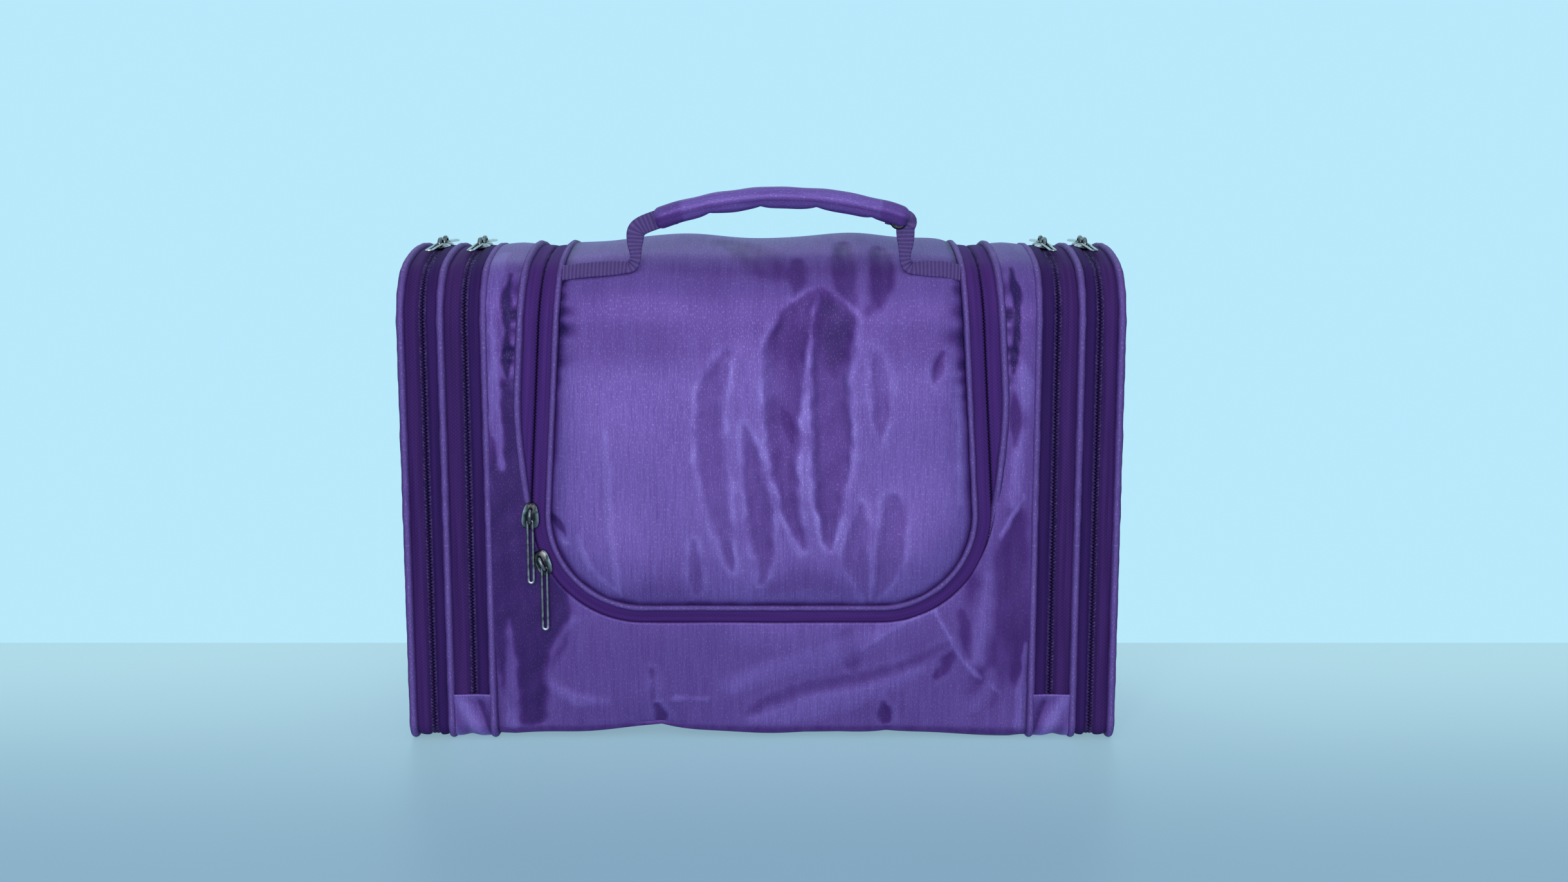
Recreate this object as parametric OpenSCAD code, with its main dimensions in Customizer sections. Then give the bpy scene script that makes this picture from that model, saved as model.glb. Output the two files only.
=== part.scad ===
// Hanging toiletry bag: a padded satin case with a zipped front flap, two zipped side wings
// with zipped outer covers, a carrying handle and a hook that folds out behind.
// The frame has +X to the right, +Y to the back and +Z up, with its origin under the middle of the base.

/* [Case] */
// Height of the side outline at the crown of the top
case_h = 222; // [190:1:250]
// Depth of the side outline from front to back
case_d = 120; // [105:1:150]
// Radius of the rounded top corners
top_r = 28; // [22:1:36]
// Radius of the gentle crown across the top
crown_r = 160; // [130:5:260]
// Radius of the corners under the base
base_r = 8; // [7:0.5:12]
// Distance from the middle to the piping of the main body
main_half = 122; // [116:1:140]
// Distance from the piping of the main body to the piping of a wing
wing_gap = 19; // [18:0.5:26]
// Distance from the piping of a wing to the piping of its cover
cover_gap = 17.5; // [17:0.5:26]

/* [Fabric] */
// Thickness of the padded satin walls
wall_t = 2; // [1.6:0.1:3]
// Thickness of the stiffened partitions, wings and covers
panel_t = 2.4; // [2:0.1:3]
// Radius of the piping cord
piping_r = 1.8; // [1.5:0.1:2.2]
// How far the front and back walls lie below the piping
wall_inset = 0.8; // [0.5:0.1:1.2]
// How far the flap swells proud of the side outline
flap_rise = 3; // [2.6:0.1:4]
// Thickness of the board that stiffens the base
board_t = 2; // [1:0.1:3]
// How far sewn pieces sink into each other
sewn = 0.4; // [0.2:0.05:0.6]
// Gap between fabric pieces that move apart
fabric_gap = 0.4; // [0.3:0.05:0.8]

/* [Flap] */
// Half width of the flap's zip line where its lower corners begin
leg_half = 103; // [95:0.5:106]
// How much narrower each half is at the top of the case than at the corners
leg_lean = 7; // [2:0.5:12]
// Height of the flap's zip line above the table at its lowest stretch
flap_zip_z = 55; // [45:1:70]
// Radius of the flap zip's lower corners
flap_corner_r = 50; // [40:1:60]
// Distance from the flap's zip line in to the edge of the flap
flap_margin = 9; // [8:0.5:12]
// Distance from the flap's zip line out to the edge of the front panel
opening_margin = 8; // [7:0.5:10]
// Distance behind the middle of the top at which the flap is sewn on
hinge_y = 36; // [30:1:37]

/* [Zips] */
// Thickness of a zip tape
tape_t = 1; // [0.8:0.1:1.2]
// Depth of the side zips' tapes below the side outline
side_tape_inset = 2.2; // [2:0.1:2.6]
// Depth of the flap zip's tapes below the side outline
flap_tape_inset = 1.4; // [1.2:0.1:1.6]
// Thickness of a zip coil
coil_t = 1.8; // [1.4:0.1:2]
// Width of one half of a zip coil
coil_w = 2; // [1.6:0.1:2.4]
// Slit between the two halves of a coil, in which the slider's post runs
coil_slit = 1.4; // [1.2:0.1:1.8]
// Distance from the main body's piping to the inner side zip's line
inner_zip_out = 8.5; // [8:0.25:9]
// Distance from a wing's piping to the outer side zip's line
outer_zip_out = 8; // [8:0.25:8.5]
// Height at which the inner side zips end above the table
inner_zip_end = 17; // [12:1:30]
// How far the outer side zips run in under the base
outer_zip_under = 8; // [4:0.5:14]

/* [Sliders and pulls] */
// Length of a slider along its zip
slider_l = 12; // [10:0.5:14]
// Width of a slider at its nose
slider_w = 9; // [8:0.25:9.5]
// Width of a slider at its tail
slider_tail_w = 7; // [6:0.25:8]
// Thickness of each slider plate
plate_t = 1.1; // [0.8:0.1:1.3]
// Clearance of a slider round its coil
slider_clear = 0.3; // [0.25:0.05:0.4]
// Width of the post that joins the plates in the slit
post_w = 0.8; // [0.6:0.1:0.9]
// Length of that post
post_l = 3; // [2:0.5:4]
// Length of the bridge that holds the pull
bridge_l = 7.5; // [6.5:0.5:9]
// Width of that bridge
bridge_w = 1; // [0.9:0.1:1.4]
// Height of that bridge above its plate
bridge_h = 2.9; // [2.6:0.1:3.4]
// Thickness of the metal in that bridge
bridge_t = 0.9; // [0.8:0.1:1.1]
// Radius of the wire of a pull
pull_wire_r = 0.5; // [0.4:0.05:0.55]
// Length of a pull from its bar to its end
pull_l = 29; // [20:1:32]
// Side play of a pull on its bridge
pull_play = 0.85; // [0.8:0.05:1.1]
// Room between a pull's bar and the end of its bridge
bar_gap = 0.4; // [0.35:0.05:0.6]
// Gap between the noses of two sliders that meet
nose_gap = 1; // [0.6:0.1:3]
// Height of the upper front slider's middle
upper_slider_z = 105; // [104:1:120]
// Turn of the lower front slider round its corner, from level
lower_slider_a = 25.6; // [24:0.1:40]

/* [Handle] */
// Width of the handle webbing
web_w = 11; // [9:0.5:14]
// Thickness of the handle webbing
web_t = 1.6; // [1.2:0.1:2]
// Width of the webbing inside the grip
core_w = 6; // [4:0.5:7]
// Where the webbing lies round the flap's top front corner, as an angle from the back
web_a = 130; // [124:1:140]
// Distance from the middle to where the webbing rises
web_in = 61; // [50:1:66]
// Length of each sewn end of the webbing
web_sewn_l = 20; // [14:1:20]
// Room under the rising webbing, so that it can fold
web_clear = 1.6; // [1.5:0.1:2.4]
// Straight length of the grip from end to end
grip_l = 115; // [90:1:130]
// Radius of the padded grip
grip_r = 4.8; // [4:0.1:6]
// Height of the grip's ends above the foot of the webbing
grip_end_up = 20; // [16:0.5:40]
// Rise of the grip's middle above its ends
grip_rise = 8.4; // [4:0.1:14]
// How far the grip sits to the right of the middle
grip_shift = 9.5; // [0:0.5:10]
// Depth to which the webbing's rising ends go into the grip
grip_in = 5; // [3:0.5:8]
// Radius of the press stud
stud_r = 4.7; // [4:0.1:5]
// Thickness of the press stud
stud_t = 1.6; // [1.2:0.1:2]
// Distance of the press stud from the right end of the grip
stud_in = 4.5; // [3:0.5:8]
// How far the press stud sits below the line of the grip
stud_down = 2.6; // [2:0.1:4]

/* [Hanging hook] */
// Width of the webbing tab that holds the hook
tab_w = 14; // [10:0.5:18]
// Thickness of the tab
tab_t = 1.2; // [1:0.1:1.6]
// Length of the tab below its loop
tab_l = 18; // [14:1:26]
// Height of the tab's loop above the table
loop_z = 186; // [176:1:188]
// Outer radius of the tab's loop
loop_r = 3.6; // [3.4:0.1:4.2]
// Radius of the hook's hinge bar and ring
bar_r = 1.6; // [1.4:0.1:1.8]
// Running clearance of the bar in the loop
bar_clear = 0.06; // [0.02:0.01:0.1]
// Distance from the middle to each arm of the hook's ring
ring_half = 9.5; // [8.5:0.5:14]
// Length of the hook's ring
ring_l = 12; // [8:0.5:16]
// Radius of the hook's wire
hook_wire_r = 2; // [1.6:0.1:2.3]
// Straight length of the hook's leaning shank
shank_l = 24; // [16:1:34]
// Radius of the hook's bend, at the middle of its wire
hook_r = 17; // [14:0.5:24]
// Radius of the weld bead where the shank meets the bend
bead_r = 2.5; // [2.4:0.1:3]
// Radius of the ball on the hook's tip
tip_r = 3.2; // [2.6:0.1:3.4]

/* [Hidden] */
$fn = 48;
corner_steps = 8;
crown_steps = 12;
base_steps = 4;
bend_steps = 12;
tube_sides = 8;
over = 1;

satin = [0.42, 0.35, 0.66];
satin_deep = [0.33, 0.25, 0.55];
plum = [0.26, 0.18, 0.42];
tape_colour = [0.17, 0.11, 0.30];
webbing = [0.36, 0.30, 0.55];
board_colour = [0.55, 0.55, 0.58];
nickel = [0.45, 0.47, 0.52];

// Centres of the arcs of the side outline, which meet without a corner
corner_y = case_d / 2 - top_r;
crown_z = case_h - crown_r;
crown_a = asin(corner_y / (crown_r - top_r));
corner_z = crown_z + (crown_r - top_r) * cos(crown_a);
base_y = case_d / 2 - base_r;
seam_z = base_r;

// Planes across the case, counted out from the middle
wing_x = main_half + wing_gap;
cover_x = wing_x + cover_gap;
inner_zip_x = main_half + inner_zip_out;
outer_zip_x = wing_x + outer_zip_out;
wall_half = main_half - panel_t / 2;
panel_inset = 2 * piping_r - sewn;
tape_from = piping_r - sewn;

// The flap's zip line: two leaning legs, two corner arcs and a level stretch
leg_z = flap_zip_z + flap_corner_r;
leg_t = leg_lean / (case_h - leg_z);
leg_a = atan(leg_t);
flap_centre_x = leg_half - flap_corner_r / cos(leg_a);
flap_seam_y = hinge_y - fabric_gap;
flap_inner = wall_t - flap_rise;

// Heights across a slider and its pull, from the middle of the tape
side_tape_mid = side_tape_inset + tape_t / 2;
flap_tape_mid = flap_tape_inset + tape_t / 2;
channel = coil_t / 2 + slider_clear;
plate_top = channel + plate_t;
pull_bar_z = plate_top + (bridge_h - bridge_t) / 2;
pull_half = bridge_w / 2 + pull_play + pull_wire_r;
bar_slip = bridge_l / 2 - bridge_t - bar_gap - pull_wire_r;
slider_out = (slider_l + nose_gap) / 2;

// The handle's foot on the flap, its grip's arc and the hook's hinge
web_foot_r = top_r + flap_rise;
handle_y = -corner_y + web_foot_r * cos(web_a);
handle_z = corner_z + web_foot_r * sin(web_a) + web_clear;
grip_end_z = handle_z + grip_end_up;
grip_r_line = (grip_l * grip_l / 4 + grip_rise * grip_rise) / (2 * grip_rise);
grip_half_a = asin(grip_l / 2 / grip_r_line);
grip_centre_z = grip_end_z + grip_rise - grip_r_line;
web_half_a = web_w / 2 / web_foot_r * 180 / PI;
back_y = case_d / 2 - wall_inset;
hook_y = back_y + loop_r;

// One station of an outline is an arc's centre, its radius and an angle on it
function arc_stations(centre, r, a0, a1, steps, first, last) =
    [for (i = [first:steps - last]) [centre, r, a0 + (a1 - a0) * i / steps]];

// The side outline seen from the right: up the front, over the crown, down the back and along the base
stations = concat(
    arc_stations([-corner_y, corner_z], top_r, 180, 90 + crown_a, corner_steps, 0, 0),
    arc_stations([0, crown_z], crown_r, 90 + crown_a, 90 - crown_a, crown_steps, 1, 1),
    arc_stations([corner_y, corner_z], top_r, 90 - crown_a, 0, corner_steps, 0, 0),
    arc_stations([base_y, base_r], base_r, 0, -90, base_steps, 0, 0),
    arc_stations([-base_y, base_r], base_r, -90, -180, base_steps, 0, 0));

function facing(station) = [cos(station[2]), sin(station[2])];
function at_depth(station, inset) = station[0] + (station[1] - inset) * facing(station);
function outline(inset) = [for (s = stations) at_depth(s, inset)];

// Half width of the flap's zip line, moved out by a margin, at a height on its legs
function leg_x(z, margin) = leg_half - (z - leg_z) * leg_t + margin / cos(leg_a);
function corner_point(side, margin, a) =
    [side * (flap_centre_x + (flap_corner_r + margin) * cos(a)), leg_z + (flap_corner_r + margin) * sin(a)];
function bend_angles() = [for (i = [0:bend_steps]) leg_a - (90 + leg_a) * i / bend_steps];
function reversed(list) = [for (i = [len(list) - 1:-1:0]) list[i]];

// The zip line moved out by a margin, seen from the front, open towards the top
function flap_outline(margin) = concat(
    [[leg_x(case_h + top_r, margin), case_h + top_r]],
    [for (a = bend_angles()) corner_point(1, margin, a)],
    reversed([for (a = bend_angles()) corner_point(-1, margin, a)]),
    [[-leg_x(case_h + top_r, margin), case_h + top_r]]);

// One half of the edge along the zip line on the curved wall, as points with their outward directions
function edge_half(side, margin, inset, seam_y) = concat(
    [for (s = concat(
            arc_stations([0, crown_z], crown_r, acos(seam_y / crown_r), 90 + crown_a, crown_steps, 0, 1),
            arc_stations([-corner_y, corner_z], top_r, 90 + crown_a, 180, corner_steps, 0, 0)))
        let (p = at_depth(s, inset), n = facing(s))
            [[side * leg_x(p[1], margin), p[0], p[1]], [0, n[0], n[1]]]],
    [for (a = bend_angles())
        let (p = corner_point(side, margin, a)) [[p[0], inset - case_d / 2, p[1]], [0, -1, 0]]]);
function edge_path(margin, inset, seam_y) =
    concat(edge_half(-1, margin, inset, seam_y), reversed(edge_half(1, margin, inset, seam_y)));

function unit(v) = v / norm(v);

// A round cord along a path of points with outward directions, closed into a loop or capped at both ends
module cord(path, r, closed) {
    count = len(path);
    function point(i) = path[(i + count) % count][0];
    function ahead(i) = closed || i < count - 1 ? point(i + 1) : point(i);
    function behind(i) = closed || i > 0 ? point(i - 1) : point(i);
    rings = [for (i = [0:count - 1])
        let (across = unit(cross(ahead(i) - behind(i), path[i][1])))
        for (k = [0:tube_sides - 1])
            let (a = 360 * (k + 0.5) / tube_sides)
            path[i][0] + r * (cos(a) * path[i][1] + sin(a) * across)];
    walls = [for (i = [0:closed ? count - 1 : count - 2], k = [0:tube_sides - 1], half = [0, 1])
        let (this = i * tube_sides, next = (i + 1) % count * tube_sides, k1 = (k + 1) % tube_sides)
        half == 0 ? [this + k, this + k1, next + k1] : [this + k, next + k1, next + k]];
    caps = closed ? [] : [for (k = [1:tube_sides - 2], end = [0, 1])
        let (base = end * (count - 1) * tube_sides)
        end == 0 ? [base, base + k + 1, base + k] : [base, base + k, base + k + 1]];
    polyhedron(points = rings, faces = concat(walls, caps));
}

// A flat shape of the side view, given a thickness from one plane across the case to another
module slab(x0, x1) {
    translate([x0, 0, 0])
        rotate([90, 0, 90])
            linear_extrude(x1 - x0)
                children();
}

module on_side(side) {
    if (side < 0)
        mirror([1, 0, 0]) children();
    else
        children();
}

module skin(outer, inner) {
    difference() {
        polygon(outline(outer));
        polygon(outline(inner));
    }
}

// The part of the side view in front of a seam across the top and above the base
module front_zone(seam_y) {
    translate([-case_d, seam_z])
        square([case_d + seam_y, case_h + top_r]);
}

// The space inside the flap's zip line, moved out by a margin, from before the front to behind the back
module inside_zip(margin) {
    translate([0, case_d, 0])
        rotate([90, 0, 0])
            linear_extrude(2 * case_d)
                polygon(flap_outline(margin));
}

module front_wall(outer, inner, seam_y) {
    slab(-wall_half, wall_half)
        intersection() {
            skin(outer, inner);
            front_zone(seam_y);
        }
}

// A band of a curved front wall between two distances from the zip line
module zip_band(mid, thick, inner_margin, outer_margin, seam_y) {
    intersection() {
        front_wall(mid - thick / 2, mid + thick / 2, seam_y);
        difference() {
            inside_zip(outer_margin);
            inside_zip(inner_margin);
        }
    }
}

// The foot of the side view, up to a height
module below(z) {
    translate([-case_d, -over])
        square([2 * case_d, z + over]);
}

module under_base(half_y) {
    translate([-half_y, -over])
        square([2 * half_y, seam_z + over]);
}

// One half of an inner side zip: the tape from a seam to the zip line, with the coil along its edge
module inner_half(seam_x, side_of_zip) {
    edge_x = inner_zip_x + side_of_zip * coil_slit / 2;
    coil_x = edge_x + side_of_zip * coil_w;
    slab(min(seam_x, edge_x), max(seam_x, edge_x))
        difference() {
            skin(side_tape_inset, side_tape_inset + tape_t);
            below(inner_zip_end);
        }
    slab(min(edge_x, coil_x), max(edge_x, coil_x))
        difference() {
            skin(side_tape_mid - coil_t / 2, side_tape_mid + coil_t / 2);
            below(inner_zip_end);
        }
}

// One half of an outer side zip, which runs in under the base at both ends
module outer_half(seam_x, side_of_zip) {
    edge_x = outer_zip_x + side_of_zip * coil_slit / 2;
    coil_x = edge_x + side_of_zip * coil_w;
    slab(min(seam_x, edge_x), max(seam_x, edge_x))
        difference() {
            skin(side_tape_inset, side_tape_inset + tape_t);
            under_base(base_y - outer_zip_under);
        }
    slab(min(edge_x, coil_x), max(edge_x, coil_x))
        difference() {
            skin(side_tape_mid - coil_t / 2, side_tape_mid + coil_t / 2);
            under_base(base_y - outer_zip_under);
        }
}

// Piping round a side panel, and the stiffened panel inside it
module side_piping(x) {
    cord([for (s = stations)
        let (p = at_depth(s, piping_r), n = facing(s)) [[x, p[0], p[1]], [0, n[0], n[1]]]], piping_r, true);
}

module side_panel(x) {
    slab(x - panel_t / 2, x + panel_t / 2)
        polygon(outline(panel_inset));
}

// Main body

module base_panel() {
    color(satin_deep)
        slab(-wall_half, wall_half)
            intersection() {
                skin(0, wall_inset + wall_t);
                below(seam_z);
            }
}

module base_board() {
    board_half = wall_half - fabric_gap;
    color(board_colour)
        slab(-board_half, board_half)
            translate([-base_y, wall_inset + wall_t])
                square([2 * base_y, board_t]);
}

module front_panel() {
    color(satin)
        difference() {
            front_wall(wall_inset, wall_inset + wall_t, hinge_y);
            inside_zip(opening_margin);
        }
}

module back_panel() {
    color(satin)
        slab(-wall_half, wall_half)
            difference() {
                skin(wall_inset, wall_inset + wall_t);
                front_zone(hinge_y);
                below(seam_z);
            }
}

module partition(side) {
    color(plum)
        on_side(side) side_panel(main_half);
}

module body_piping(side) {
    color(satin_deep)
        on_side(side) side_piping(main_half);
}

module opening_piping() {
    color(satin_deep)
        cord(edge_path(opening_margin, wall_inset + sewn, hinge_y), piping_r - sewn, false);
}

module opening_stringer() {
    slit = coil_slit / 2;
    color(tape_colour) {
        zip_band(flap_tape_mid, tape_t, slit, opening_margin, hinge_y);
        zip_band(flap_tape_mid, coil_t, slit, slit + coil_w, hinge_y);
    }
}

module body_stringer(side) {
    color(tape_colour)
        on_side(side) inner_half(main_half + tape_from, -1);
}

module gusset(side) {
    color(satin)
        on_side(side)
            slab(main_half + tape_from, wing_x - piping_r - fabric_gap)
                intersection() {
                    skin(side_tape_inset, side_tape_inset + tape_t);
                    below(inner_zip_end - fabric_gap);
                }
}

// The tab lies flat on the back and turns over the hook's bar in a loop at its top
module hook_tab() {
    color(webbing)
        difference() {
            union() {
                translate([-tab_w / 2, back_y, loop_z - tab_l])
                    cube([tab_w, tab_t, tab_l]);
                translate([-tab_w / 2, hook_y, loop_z])
                    rotate([0, 90, 0])
                        cylinder(r = loop_r, h = tab_w);
            }
            translate([-tab_w / 2 - over, hook_y, loop_z])
                rotate([0, 90, 0])
                    cylinder(r = bar_r + bar_clear, h = tab_w + 2 * over);
        }
}

module rod(from, to, r) {
    along = to - from;
    turn = atan2(norm([along[0], along[1]]), along[2]);
    translate(from)
        rotate([0, turn, atan2(along[1], along[0])])
            cylinder(r = r, h = norm(along));
}

// An arc of wire in the plane of the hook
module bend(centre, r, a0, a1, wire_r) {
    translate([centre[0], 0, centre[1]])
        rotate([90, 0, 0])
            rotate([0, 0, a0])
                rotate_extrude(angle = a1 - a0)
                    translate([r, 0])
                        circle(r = wire_r);
}

// The hook hangs point down behind the back, and is drawn here upright before it is turned over
module hanging_hook() {
    tip_a = -20;
    shank_a = 270 - atan2(shank_l, hook_r);
    eye_z = ring_l + sqrt(shank_l * shank_l + hook_r * hook_r);
    shank_top = [hook_r * cos(shank_a), 0, eye_z + hook_r * sin(shank_a)];
    color(nickel)
        translate([0, hook_y, loop_z])
            rotate([180, 0, 0]) {
                rod([-ring_half, 0, 0], [ring_half, 0, 0], bar_r);
                for (side = [-1, 1]) {
                    rod([side * ring_half, 0, 0], [side * ring_half, 0, ring_l], bar_r);
                    translate([side * ring_half, 0, 0]) sphere(r = bar_r);
                    translate([side * ring_half, 0, ring_l]) sphere(r = bar_r);
                }
                rod([-ring_half, 0, ring_l], [ring_half, 0, ring_l], bar_r);
                rod([0, 0, ring_l], shank_top, hook_wire_r);
                bend([0, eye_z], hook_r, tip_a, shank_a, hook_wire_r);
                translate(shank_top) sphere(r = bead_r);
                translate([hook_r * cos(tip_a), 0, eye_z + hook_r * sin(tip_a)])
                    sphere(r = tip_r);
            }
}

// Flap and handle

module flap_panel() {
    color(satin)
        intersection() {
            front_wall(-flap_rise, flap_inner, flap_seam_y);
            inside_zip(-flap_margin);
        }
}

module flap_piping() {
    color(satin_deep)
        cord(edge_path(-flap_margin, (flap_inner + flap_tape_inset) / 2, flap_seam_y), piping_r, false);
}

module flap_stringer() {
    slit = coil_slit / 2;
    color(tape_colour) {
        zip_band(flap_tape_mid, tape_t, -flap_margin, -slit, flap_seam_y);
        zip_band(flap_tape_mid, coil_t, -slit - coil_w, -slit, flap_seam_y);
    }
}

// The webbing's end is sewn flat round the flap's top front corner
module handle_end(side) {
    corner = [-corner_y, corner_z];
    foot = arc_stations(corner, web_foot_r, web_a - web_half_a, web_a + web_half_a, base_steps, 0, 0);
    sewn_from = web_in + web_w / 2 + fabric_gap;
    color(webbing)
        on_side(side)
            slab(sewn_from, sewn_from + web_sewn_l)
                polygon(concat(
                    [for (s = foot) at_depth(s, sewn)],
                    reversed([for (s = foot) at_depth(s, -web_t)])));
}

// The handle's arc about its centre, from the left end of the grip to the right
module along_grip() {
    translate([grip_shift, handle_y, grip_centre_z])
        rotate([90, 0, 0])
            rotate([0, 0, 90 - grip_half_a])
                rotate_extrude(angle = 2 * grip_half_a)
                    translate([grip_r_line, 0])
                        children();
}

// The webbing rises from each side of the flap into the grip and runs through it
module handle_webbing() {
    color(webbing) {
        for (side = [-1, 1]) {
            end_x = grip_shift + side * grip_l / 2;
            in_x = end_x - side * grip_in;
            translate([0, handle_y + web_t / 2, 0])
                rotate([90, 0, 0])
                    linear_extrude(web_t)
                        polygon([[side * web_in - web_w / 2, handle_z], [side * web_in + web_w / 2, handle_z],
                            [in_x + core_w / 2, grip_end_z], [in_x - core_w / 2, grip_end_z]]);
        }
        along_grip() square([core_w, web_t], center = true);
    }
}

module handle_grip() {
    color(satin)
        along_grip()
            difference() {
                circle(r = grip_r);
                square([core_w, web_t], center = true);
            }
}

module press_stud() {
    stud_x = grip_l / 2 - stud_in;
    stud_z = grip_centre_z + sqrt(grip_r_line * grip_r_line - stud_x * stud_x) - stud_down;
    color(nickel)
        translate([grip_shift + stud_x, handle_y - web_t / 2, stud_z])
            rotate([90, 0, 0])
                cylinder(r = stud_r, h = stud_t);
}

// Wings and covers

module wing_panel(side) {
    color(plum)
        on_side(side) side_panel(wing_x);
}

module wing_piping(side) {
    color(satin_deep)
        on_side(side) side_piping(wing_x);
}

module wing_stringers(side) {
    color(tape_colour)
        on_side(side) {
            inner_half(wing_x - tape_from, 1);
            outer_half(wing_x + tape_from, -1);
        }
}

module wing_gusset(side) {
    color(satin)
        on_side(side)
            slab(wing_x + tape_from, cover_x - piping_r - fabric_gap)
                intersection() {
                    skin(side_tape_inset, side_tape_inset + tape_t);
                    under_base(base_y - outer_zip_under - fabric_gap);
                }
}

module cover_panel(side) {
    color(satin)
        on_side(side) side_panel(cover_x);
}

module cover_piping(side) {
    color(satin_deep)
        on_side(side) side_piping(cover_x);
}

module cover_stringer(side) {
    color(tape_colour)
        on_side(side) outer_half(cover_x - tape_from, 1);
}

// Sliders and pulls

// A slider lies on its zip with its nose towards +Y and the middle of the tape at its own zero height;
// a short post in the slit joins its plates
module slider() {
    plan = [[-slider_tail_w / 2, -slider_l / 2], [slider_tail_w / 2, -slider_l / 2],
        [slider_w / 2, slider_l / 6], [slider_w / 2, slider_l / 2],
        [-slider_w / 2, slider_l / 2], [-slider_w / 2, slider_l / 6]];
    window_h = bridge_h - bridge_t;
    color(nickel) {
        for (z = [-plate_top, channel])
            translate([0, 0, z])
                linear_extrude(plate_t) polygon(plan);
        translate([-post_w / 2, -post_l / 2, -channel])
            cube([post_w, post_l, 2 * channel]);
        difference() {
            translate([-bridge_w / 2, -bridge_l / 2, plate_top])
                cube([bridge_w, bridge_l, bridge_h]);
            translate([-bridge_w, bridge_t - bridge_l / 2, plate_top])
                cube([2 * bridge_w, bridge_l - 2 * bridge_t, window_h]);
        }
    }
}

// A pull is a closed loop of wire from its bar, at its own zero, out along -Y
module pull() {
    bow_y = pull_half - pull_l + pull_wire_r;
    color(nickel) {
        rod([-pull_half, 0, 0], [pull_half, 0, 0], pull_wire_r);
        for (x = [-pull_half, pull_half]) {
            translate([x, 0, 0]) sphere(r = pull_wire_r);
            rod([x, bow_y, 0], [x, 0, 0], pull_wire_r);
        }
        translate([0, bow_y, 0])
            rotate([0, 0, 180])
                rotate_extrude(angle = 180)
                    translate([pull_half, 0]) circle(r = pull_wire_r);
    }
}

// Places what lies on a side zip, before or behind the middle of the top, nose to the middle
module on_side_zip(side, x, end) {
    along_a = slider_out / crown_r * 180 / PI;
    on_side(side)
        translate([x, 0, crown_z])
            rotate([-end * along_a, 0, 0])
                translate([0, 0, crown_r - side_tape_mid])
                    rotate([0, 0, end < 0 ? 0 : 180])
                        children();
}

module side_slider(side, x, end) {
    on_side_zip(side, x, end) slider();
}

module side_pull(side, x, end) {
    on_side_zip(side, x, end)
        translate([0, -bar_slip, pull_bar_z]) pull();
}

// Stands what lies on a zip up against the front, with its outer face towards -Y
module on_front(x, z) {
    translate([x, flap_tape_mid - case_d / 2, z])
        rotate([90, 0, 0])
            children();
}

upper_x = -leg_x(upper_slider_z, 0);
lower_spot = corner_point(-1, 0, -lower_slider_a);

module upper_slider() {
    on_front(upper_x, upper_slider_z)
        rotate([0, 0, 180 - leg_a]) slider();
}

module upper_pull() {
    on_front(upper_x, upper_slider_z)
        rotate([0, 0, 180 - leg_a])
            translate([0, bar_slip, pull_bar_z])
                rotate([0, 0, leg_a - 180]) pull();
}

module lower_slider() {
    on_front(lower_spot[0], lower_spot[1])
        rotate([0, 0, lower_slider_a]) slider();
}

module lower_pull() {
    on_front(lower_spot[0], lower_spot[1])
        rotate([0, 0, lower_slider_a])
            translate([0, -bar_slip, pull_bar_z])
                rotate([0, 0, -lower_slider_a]) pull();
}

base_panel();
base_board();
front_panel();
back_panel();
partition(-1);  // left_partition
partition(1);  // right_partition
body_piping(-1);  // left_body_piping
body_piping(1);  // right_body_piping
opening_piping();
opening_stringer();
body_stringer(-1);  // left_body_stringer
body_stringer(1);  // right_body_stringer
gusset(-1);  // left_gusset
gusset(1);  // right_gusset
hook_tab();
hanging_hook();
flap_panel();
flap_piping();
flap_stringer();
handle_end(-1);  // left_handle_end
handle_end(1);  // right_handle_end
handle_webbing();
handle_grip();
press_stud();
wing_panel(-1);  // left_wing_panel
wing_piping(-1);  // left_wing_piping
wing_stringers(-1);  // left_wing_stringers
wing_gusset(-1);  // left_wing_gusset
wing_panel(1);  // right_wing_panel
wing_piping(1);  // right_wing_piping
wing_stringers(1);  // right_wing_stringers
wing_gusset(1);  // right_wing_gusset
cover_panel(-1);  // left_cover_panel
cover_piping(-1);  // left_cover_piping
cover_stringer(-1);  // left_cover_stringer
cover_panel(1);  // right_cover_panel
cover_piping(1);  // right_cover_piping
cover_stringer(1);  // right_cover_stringer
upper_slider();
upper_pull();
lower_slider();
lower_pull();
side_slider(-1, inner_zip_x, -1);  // left_inner_front_slider
side_pull(-1, inner_zip_x, -1);  // left_inner_front_pull
side_slider(-1, inner_zip_x, 1);  // left_inner_rear_slider
side_pull(-1, inner_zip_x, 1);  // left_inner_rear_pull
side_slider(-1, outer_zip_x, -1);  // left_outer_front_slider
side_pull(-1, outer_zip_x, -1);  // left_outer_front_pull
side_slider(-1, outer_zip_x, 1);  // left_outer_rear_slider
side_pull(-1, outer_zip_x, 1);  // left_outer_rear_pull
side_slider(1, inner_zip_x, -1);  // right_inner_front_slider
side_pull(1, inner_zip_x, -1);  // right_inner_front_pull
side_slider(1, inner_zip_x, 1);  // right_inner_rear_slider
side_pull(1, inner_zip_x, 1);  // right_inner_rear_pull
side_slider(1, outer_zip_x, -1);  // right_outer_front_slider
side_pull(1, outer_zip_x, -1);  // right_outer_front_pull
side_slider(1, outer_zip_x, 1);  // right_outer_rear_slider
side_pull(1, outer_zip_x, 1);  // right_outer_rear_pull
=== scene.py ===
"""Looks of a hanging toiletry bag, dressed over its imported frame.

Metres throughout, with +X to the right, +Y to the back and +Z up from the middle of the base.
"""

import math

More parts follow.
